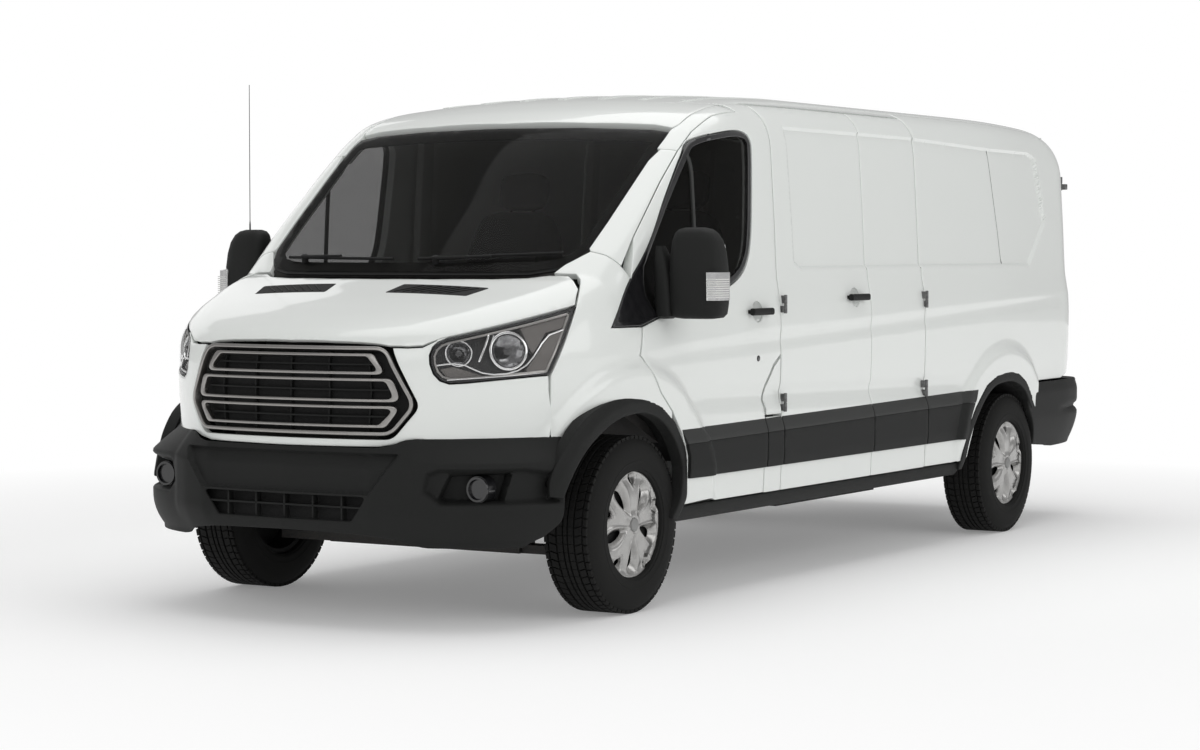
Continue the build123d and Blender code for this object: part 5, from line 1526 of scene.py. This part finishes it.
for bodyName, side in (("rear_door_left", 1), ("rear_door_right", -1)):
    hinges = []
    for low in (0.860, 1.760):
        y = rearFace + 0.016
        hinges.append([roundBar(0.828, y, low, low + 0.036, 0.008),
                       block((0.83, rearFace - 0.02, low + 0.003), (0.866, y, low + 0.033), 0.002)])
        hinges.append([roundBar(0.828, y, low + 0.0364, low + 0.0724, 0.008),
                       block((0.766, rearFace - 0.004, low + 0.040), (0.828, y + 0.004, low + 0.069), 0.002)])
    for i, shape in enumerate(hinges):
        piece(bodyName + "Hinge%d" % i, shape if side > 0 else flipped(shape), steelGrey,
              bodyName if i % 2 else "van_body")
piece("rearHandle", [block((-0.165, rearFace + 0.002, 1.105), (-0.025, rearFace + 0.026, 1.135), 0.006,
                           0.008)], trimBlack, "rear_door_right")
piece("plateHolder", [block((-0.30, rearFace, 0.880), (-0.012, rearFace + 0.010, 1.045), 0.003, 0.008)],
      trimBlack, "rear_door_right")
piece("blankPlate", [block((-0.290, rearFace + 0.006, 0.895), (-0.022, rearFace + 0.013, 1.030), 0.002,
                           0.006)], lensWhite, "rear_door_right")
stopLamp = laid(lambda x, z: np.column_stack([x, np.full(np.shape(x), rearFace - 0.035), z]),
                [rounded([(-0.17, 2.035), (0.17, 2.035), (0.16, 2.058), (-0.16, 2.058)], 0.01)], 0.03, 0.02,
                0.003)
piece("stopLamp", [stopLamp], redLens)
print("rear made")
aLow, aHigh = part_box("antenna")
mast = np.array([(aLow.x + aHigh.x) / 2, (aLow.y + aHigh.y) / 2, 0])
mastPoints = [mast + [0, 0, z] for z in (aLow.z, aLow.z + 0.03, aLow.z + 0.05, aHigh.z - 0.002)]
piece("antennaRod", [tube(mastPoints, [0.0035, 0.0035, 0.0018, 0.0014], 12)], deepBlack, "van_body",
      ["antenna"], placed=True)


# Roof, cab and load space
def softBox(centre, half, power=5.0, count=22, lean=0.0, shape=None):
    # rounded closed form; shape(q) moves its places, given in shares of the half sizes
    grid = np.linspace(-1, 1, count)
    keys, verts, faces = {}, [], []

    def at(p):
        key = tuple(np.round(p, 6))
        if key not in keys:
            keys[key] = len(verts)
            verts.append(p)
        return keys[key]
    for axis in range(3):
        for sign in (-1, 1):
            for i in range(count - 1):
                for j in range(count - 1):
                    face = []
                    for a, b in ((i, j), (i + 1, j), (i + 1, j + 1), (i, j + 1)):
                        p = [0, 0, 0]
                        p[axis], p[(axis + 1) % 3], p[(axis + 2) % 3] = sign, grid[a], grid[b]
                        face.append(at(p))
                    faces.append(tuple(face if sign > 0 else face[::-1]))
    q = np.array(verts, float)
    q = q / (np.abs(q) ** power).sum(1)[:, None] ** (1 / power)
    p = q * half
    if shape is not None:
        p = p + shape(q)
    c, s = math.cos(lean), math.sin(lean)
    p = np.column_stack([p[:, 0], p[:, 1] * c + p[:, 2] * s, -p[:, 1] * s + p[:, 2] * c])
    return p + centre, faces


seat = dict(bolster=0.022, crown=0.012, seam=0.007, cushionHalf=(0.248, 0.240, 0.052),
            backHalf=(0.245, 0.050, 0.315), lean=0.275)


def hump(q, middle, wide):
    # smooth bump along one direction
    return np.exp(-((q - middle) / wide) ** 2)


def seatCushion(q):
    # crown, side bolsters and sewn channels on the top face
    top = smooth(q[:, 2], 0.2, 0.9)
    ax = np.abs(q[:, 0])
    lift = seat["crown"] * (1 - ax ** 2) * (1 - q[:, 1] ** 2) + seat["bolster"] * hump(ax, 0.82, 0.14)
    lift = lift - seat["seam"] * hump(ax, 0.60, 0.028)
    lift = lift - seat["seam"] * (ax < 0.6) * (hump(q[:, 1], -0.35, 0.028) + hump(q[:, 1], 0.30, 0.028))
    pull = -0.010 * (1 - q[:, 1] ** 2) * smooth(ax, 0.85, 1.0) * np.sign(q[:, 0])
    return np.column_stack([pull, 0 * ax, lift * top])


def seatBack(q):
    # the same on the front face of the back
    front = smooth(-q[:, 1], 0.2, 0.9)
    ax = np.abs(q[:, 0])
    lift = seat["crown"] * (1 - ax ** 2) * (1 - q[:, 2] ** 2) + seat["bolster"] * hump(ax, 0.82, 0.14)
    lift = lift - seat["seam"] * hump(ax, 0.60, 0.028)
    lift = lift - seat["seam"] * (ax < 0.6) * (hump(q[:, 2], -0.45, 0.022) + hump(q[:, 2], 0.25, 0.022))
    taper = -0.045 * smooth(q[:, 2], 0.2, 1.0) * q[:, 0]
    return np.column_stack([taper, -lift * front, 0 * ax])


for word, node in (("driver", "driver_seat"), ("passenger", "passenger_seat")):
    low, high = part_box(node)
    x = (low.x + high.x) / 2
    cushion = softBox((x, 0.985, 0.948), seat["cushionHalf"], 5.5, 26, 0.0, seatCushion)
    back = softBox((x, 1.262, 1.300), seat["backHalf"], 5.5, 26, seat["lean"], seatBack)
    rest = softBox((x, 1.372, 1.700), (0.125, 0.034, 0.085), 4.0, 16, 0.20)
    posts = [tube([(x + s, 1.345, 1.58), (x + s, 1.365, 1.66)], 0.006) for s in (-0.06, 0.06)]
    plinth = [block((x - 0.205, 0.83, 0.642), (x + 0.205, 1.19, 0.885), 0.012, 0.03),
              block((x - 0.235, 0.80, 0.880), (x + 0.235, 1.20, 0.905), 0.010, 0.03)]
    for part, fill in ((piece(word + "SeatCushion", [cushion], seatCloth, "van_body", [node]), 0.8),
                       (piece(word + "SeatBack", [back], seatCloth), 0.8),
                       (piece(word + "SeatHeadrest", [rest], seatCloth), 0.9)):
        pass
    piece(word + "SeatBase", plinth + posts, trimBlack)

dashSide = rounded([(0.118, 0.92), (0.118, 1.225), (0.20, 1.238), (0.33, 1.205), (0.395, 1.135),
                    (0.40, 1.03), (0.345, 0.905)], [0.01, 0.02, 0.05, 0.06, 0.04, 0.05, 0.03], 5)
rings = []
dashRows = [(-0.698, 0.90), (-0.690, 0.97), (-0.675, 1.0), (-0.30, 1.0), (-0.20, 1.0)]        # (x, share)
for x, k in dashRows + [(-x, k) for x, k in reversed(dashRows)]:
    rings.append([(x, 0.26 + (y - 0.26) * k, 1.07 + (z - 1.07) * k) for y, z in dashSide])
hoodRows = ((0.17, 1.19), (0.165, 1.235), (0.15, 1.262), (0.11, 1.275))        # (half width, z)
hood = [superRing(0.42, 0.34, halfX, 0.055, z, 28, 3.0) for halfX, z in hoodRows]
console = block((-0.16, 0.33, 0.93), (0.16, 0.415, 1.20), 0.012, 0.02)
screenPanel = block((-0.115, 0.405, 1.06), (0.115, 0.4195, 1.175), 0.003, 0.006)
piece("dashTop", [loft(rings), loft(hood), console], trimBlack, "van_body", ["dashboard"])
piece("dashScreen", [screenPanel], glossBlack)
ventDisc = latheX([(0.0, 0.001), (0.006, 0.001), (0.010, 0.030), (0.010, 0.042), (0.0, 0.045)], 28)
ventTurned = (np.asarray(ventDisc[0])[:, [1, 0, 2]], ventDisc[1])
piece("dashVents", [(ventTurned[0] + [x, 0.395, 1.145], ventTurned[1]) for x in (-0.62, -0.21, 0.21, 0.62)],
      glossBlack)
steering = dict(centre=(0.420, 0.560, 1.120), tilt=32, rimR=0.185, rimThick=0.0145)
wheelCentre, columnTilt = np.array(steering["centre"]), math.radians(steering["tilt"])
columnWay = np.array([0, -math.cos(columnTilt), -math.sin(columnTilt)])
column = tube([wheelCentre + columnWay * s for s in (0.04, 0.12, 0.30)], [0.035, 0.04, 0.045], 20)
piece("steeringColumn", [column], trimBlack)


def onColumn(shape):
    # a shape built round Z, put onto the steering column
    v = np.asarray(shape[0], float)
    up = np.array([0, math.cos(columnTilt), math.sin(columnTilt)])
    other = np.cross(up, [1, 0, 0])
    return wheelCentre + v[:, :1] * [1, 0, 0] + v[:, 1:2] * other + v[:, 2:] * up, shape[1]


rimSection = [(steering["rimR"] + steering["rimThick"] * math.cos(b), steering["rimThick"] * math.sin(b))
              for b in around(14)]
rimRings = [[(r * math.cos(a), r * math.sin(a), z) for r, z in rimSection] for a in around(64)]
wheelRim = loft(rimRings + [rimRings[0]], caps=False)
hub = softBox((0, 0, -0.012), (0.075, 0.062, 0.022), 3.5, 12)
spokes = []
for angle in (0, 150, 210):
    t = math.radians(angle)
    spoke = tube([(0.05 * math.cos(t), 0.05 * math.sin(t), -0.012),
                  (0.12 * math.cos(t), 0.12 * math.sin(t), -0.010),
                  (0.182 * math.cos(t), 0.182 * math.sin(t), 0.0)], [0.020, 0.014, 0.012], 12)
    spokes.append((spoke[0] * [1, 1, 0.6], spoke[1]))
piece("steeringRim", [onColumn(s) for s in [wheelRim, hub] + spokes], rubberMat, "steering_wheel",
      ["steering_wheel"])

# Dark lining inside the front doors and over the cab; over the cab the near-black is painted shade for the
# unlit cab roof
liningOutline = rounded([(0.08, 1.10), (0.16, 0.93), (0.33, 0.76), (0.37, 0.45), (1.02, 0.45), (1.02, 0.82),
                         (1.15, 0.97), (1.165, 1.30), (0.97, 1.30), (0.80, 1.262), (0.30, 1.165)], 0.02, 3)
pair("DoorLining", [plate(sideLay, liningOutline, 0.010, 0.04, -0.052)], liningAndCabShade, doorBodies)
pair("ArmRest", [block((0.885, 0.45, 1.00), (0.945, 0.90, 1.045), 0.010, 0.015)], trimBlack, doorBodies)
# headliner in the near-black lining colour: painted shade for the dark cab roof
headLoop = [(-0.70, 0.70), (0.70, 0.70), (0.70, 1.55), (-0.70, 1.55)]
piece("headliner", [plate(topLay, headLoop, 0.012, 0.05, -0.075, edge=0.004)], liningAndCabShade)
piece("cabMat", [block((-0.80, 0.475, 0.641), (0.80, 1.60, 0.650), 0.003, 0.02)], rubberMat)
binRib = block((-0.62, 1.70, 0.6405), (-0.612, 4.70, 0.6445), 0.001)
piece("floorRibs", [repeated(binRib, 16, steelGrey, step=(0.0827, 0, 0))], steelGrey)


def post(yLow, yHigh, outBack, inBack, zLow=0.345, zHigh=2.045):
    # upright inside the body side
    y = (yLow + yHigh) / 2
    rings = []
    for z in np.linspace(zLow, zHigh, 22):
        w = float(halfWidth(np.array([y]), np.array([z]))[0])
        flat = rounded([(w - inBack, yLow), (w - outBack, yLow), (w - outBack, yHigh), (w - inBack, yHigh)],
                       0.008, 3)
        rings.append([(a, b, z) for a, b in flat])
    return loft(rings)


# the inner posts, ribs, sill and wheel boxes take the darkened white paint as painted shade inside the body
pair("BPillarInner", [post(bLine - 0.045, bLine + 0.045, 0.085, 0.123)], shadedInnerPaint)
pair("RearPillarInner", [post(rLine - 0.030, rLine + 0.045, 0.085, 0.123)], shadedInnerPaint)
for i, y in enumerate((3.30, 3.95, 4.45)):
    pair("SideRib%d" % (i + 1), [post(y - 0.03, y + 0.03, 0.048, 0.085, 1.0 if y < 4.3 else 0.80, 2.03)],
         shadedInnerPaint)
pair("SillInner", [block((0.888, 0.404, 0.333), (0.935, 3.08, 0.640), 0.006)], shadedInnerPaint)
outerRun, innerRun = archArc(rearArch, 0.045, 20, 160, 24), archArc(rearArch, 0.030, 20, 160, 24)
boxRings = [[(x, y, z) for y, z in outerRun + innerRun[::-1]] for x in (0.66, 0.93)]
boxFoot = [(outerRun[-1][0], 0.5), (outerRun[0][0], 0.5)]
closing = [[(x, y, z) for y, z in outerRun + boxFoot] for x in (0.655, 0.665)]
pair("WheelBox", [loft(boxRings), loft(closing)], shadedInnerPaint)
roofBead = dict(count=7, pitch=0.205, width=0.034)
for i in range(roofBead["count"]):
    x = -0.615 + roofBead["pitch"] * i
    line = [(x, y) for y in np.linspace(1.02, rearFace - 0.42, 24)]
    piece("roofBead%d" % (i + 1), [ribbon(topLay, line, roofBead["width"], 0.008, 0.004, 0.016)], paint)
print("cab and roof made")

# light, floor and camera
view = dict(x=6.4765, y=-9.3879, z=1.4254, yaw=30.904, down=2.555, lens=83.15, shiftX=-0.0079, shiftY=0.00056)
light = dict(top=275, side=150, front=85, far=70, world=0.42, backdrop=1.0, floorGlow=0.20)
scene = bpy.context.scene
scene.view_settings.view_transform = "Standard"
camera = bpy.data.objects.new("camera", bpy.data.cameras.new("camera"))
scene.collection.objects.link(camera)
camera.location = (view["x"], view["y"] + axleY, view["z"])
yaw, pitch = math.radians(view["yaw"]), math.radians(view["down"])
look = Vector((-math.sin(yaw) * math.cos(pitch), math.cos(yaw) * math.cos(pitch), -math.sin(pitch)))
camera.rotation_mode = "QUATERNION"
camera.rotation_quaternion = look.to_track_quat("-Z", "Y")
camera.data.lens = view["lens"]
camera.data.sensor_width = 36
camera.data.shift_x, camera.data.shift_y = view["shiftX"], view["shiftY"]
camera.data.clip_end = 200
scene.camera = camera


def softLamp(name, standing, target, size, power, colour=(1, 1, 1)):
    lamp = bpy.data.lights.new(name, "AREA")
    lamp.shape, lamp.size, lamp.size_y, lamp.energy, lamp.color = "RECTANGLE", size[0], size[1], power, colour
    o = bpy.data.objects.new(name, lamp)
    scene.collection.objects.link(o)
    o.location = standing
    o.rotation_mode = "QUATERNION"
    o.rotation_quaternion = (Vector(target) - Vector(standing)).to_track_quat("-Z", "Y")
    return o


softLamp("topLamp", (0, 0, 7.5), (0, 0, 0), (7, 10), light["top"])
softLamp("sideLamp", (8.5, -1.0, 4.2), (0, 0, 1.0), (9, 4), light["side"])
softLamp("frontLamp", (1.0, -9.5, 4.0), (0, -2, 1.0), (7, 3.5), light["front"])
softLamp("farLamp", (-8.5, 2.0, 4.5), (0, 0, 1.0), (8, 4), light["far"])

world = bpy.data.worlds.new("studio")
scene.world = world
world.use_nodes = True
wn, wl = world.node_tree.nodes, world.node_tree.links
background = wn["Background"]
path, whole, skyMix = wn.new("ShaderNodeLightPath"), wn.new("ShaderNodeMath"), wn.new("ShaderNodeMix")
whole.operation = "MAXIMUM"
wl.new(path.outputs["Is Camera Ray"], whole.inputs[0])
wl.new(path.outputs["Is Transmission Ray"], whole.inputs[1])
wl.new(whole.outputs[0], skyMix.inputs["Factor"])
skyMix.inputs["A"].default_value = light["world"]
skyMix.inputs["B"].default_value = light["backdrop"]
wl.new(skyMix.outputs["Result"], background.inputs["Strength"])
background.inputs["Color"].default_value = (1, 1, 1, 1)

floorMesh = bpy.data.meshes.new("floor")
floorMesh.from_pydata([(-40, -40, 0), (40, -40, 0), (40, 40, 0), (-40, 40, 0)], [], [(0, 1, 2, 3)])
floor = bpy.data.objects.new("floor", floorMesh)
scene.collection.objects.link(floor)
floorMat = bpy.data.materials.new("paleFloor")
floorMat.use_nodes = True
fn, fl = floorMat.node_tree.nodes, floorMat.node_tree.links
matte, glowing, fade = fn["Principled BSDF"], fn.new("ShaderNodeEmission"), fn.new("ShaderNodeMixShader")
matte.inputs["Base Color"].default_value = (0.86, 0.86, 0.86, 1)
matte.inputs["Roughness"].default_value = 0.7
matte.inputs["Specular IOR Level"].default_value = 0.1
matte.inputs["Emission Color"].default_value = (1, 1, 1, 1)
matte.inputs["Emission Strength"].default_value = light["floorGlow"]
spot = fn.new("ShaderNodeTexCoord")
distance = fn.new("ShaderNodeVectorMath")
ramp = fn.new("ShaderNodeMapRange")
distance.operation = "LENGTH"
fl.new(spot.outputs["Object"], distance.inputs[0])
fl.new(distance.outputs["Value"], ramp.inputs["Value"])
ramp.inputs["From Min"].default_value, ramp.inputs["From Max"].default_value = 3.2, 6.5
fl.new(ramp.outputs[0], fade.inputs["Fac"])
fl.new(matte.outputs[0], fade.inputs[1])
fl.new(glowing.outputs[0], fade.inputs[2])
fl.new(fade.outputs[0], fn["Material Output"].inputs["Surface"])
floorMesh.materials.append(floorMat)
print("stage set")

# CAD nodes that show as they are
kept = {"left_body_side": paint, "right_body_side": paint, "rear_sill": trimBlack, "floor_pan": steelGrey,
        "firewall": castDark, "dashboard": trimBlack, "chassis_rails": castDark, "engine_block": castDark,
        "gearbox": castDark, "radiator": castDark, "front_suspension": castDark, "rear_axle": castDark,
        "propshaft": steelGrey, "exhaust": steelGrey, "fuel_tank": trimBlack, "spare_wheel": tyreBlack,
        "arch_liners": deepBlack, "driver_seat": seatCloth, "passenger_seat": seatCloth,
        "steering_wheel": rubberMat, "left_knuckle": castDark, "right_knuckle": castDark,
        "antenna": rubberMat, "left_mirror": trimBlack, "right_mirror": trimBlack,
        "left_door_glass": darkGlass, "right_door_glass": darkGlass, "front_bumper": trimBlack,
        "rear_bumper": trimBlack, "tail_lamps": redLens, "headlamps": lampDark, "grille": glossBlack,}
for node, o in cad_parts.items():
    if node.endswith("_tyre"):
        kept[node] = tyreBlack
    if node.endswith("_rim"):
        kept[node] = wheelSilver
    if not o.hide_render:
        o.data.materials.clear()
        o.data.materials.append(kept.get(node, trimBlack))
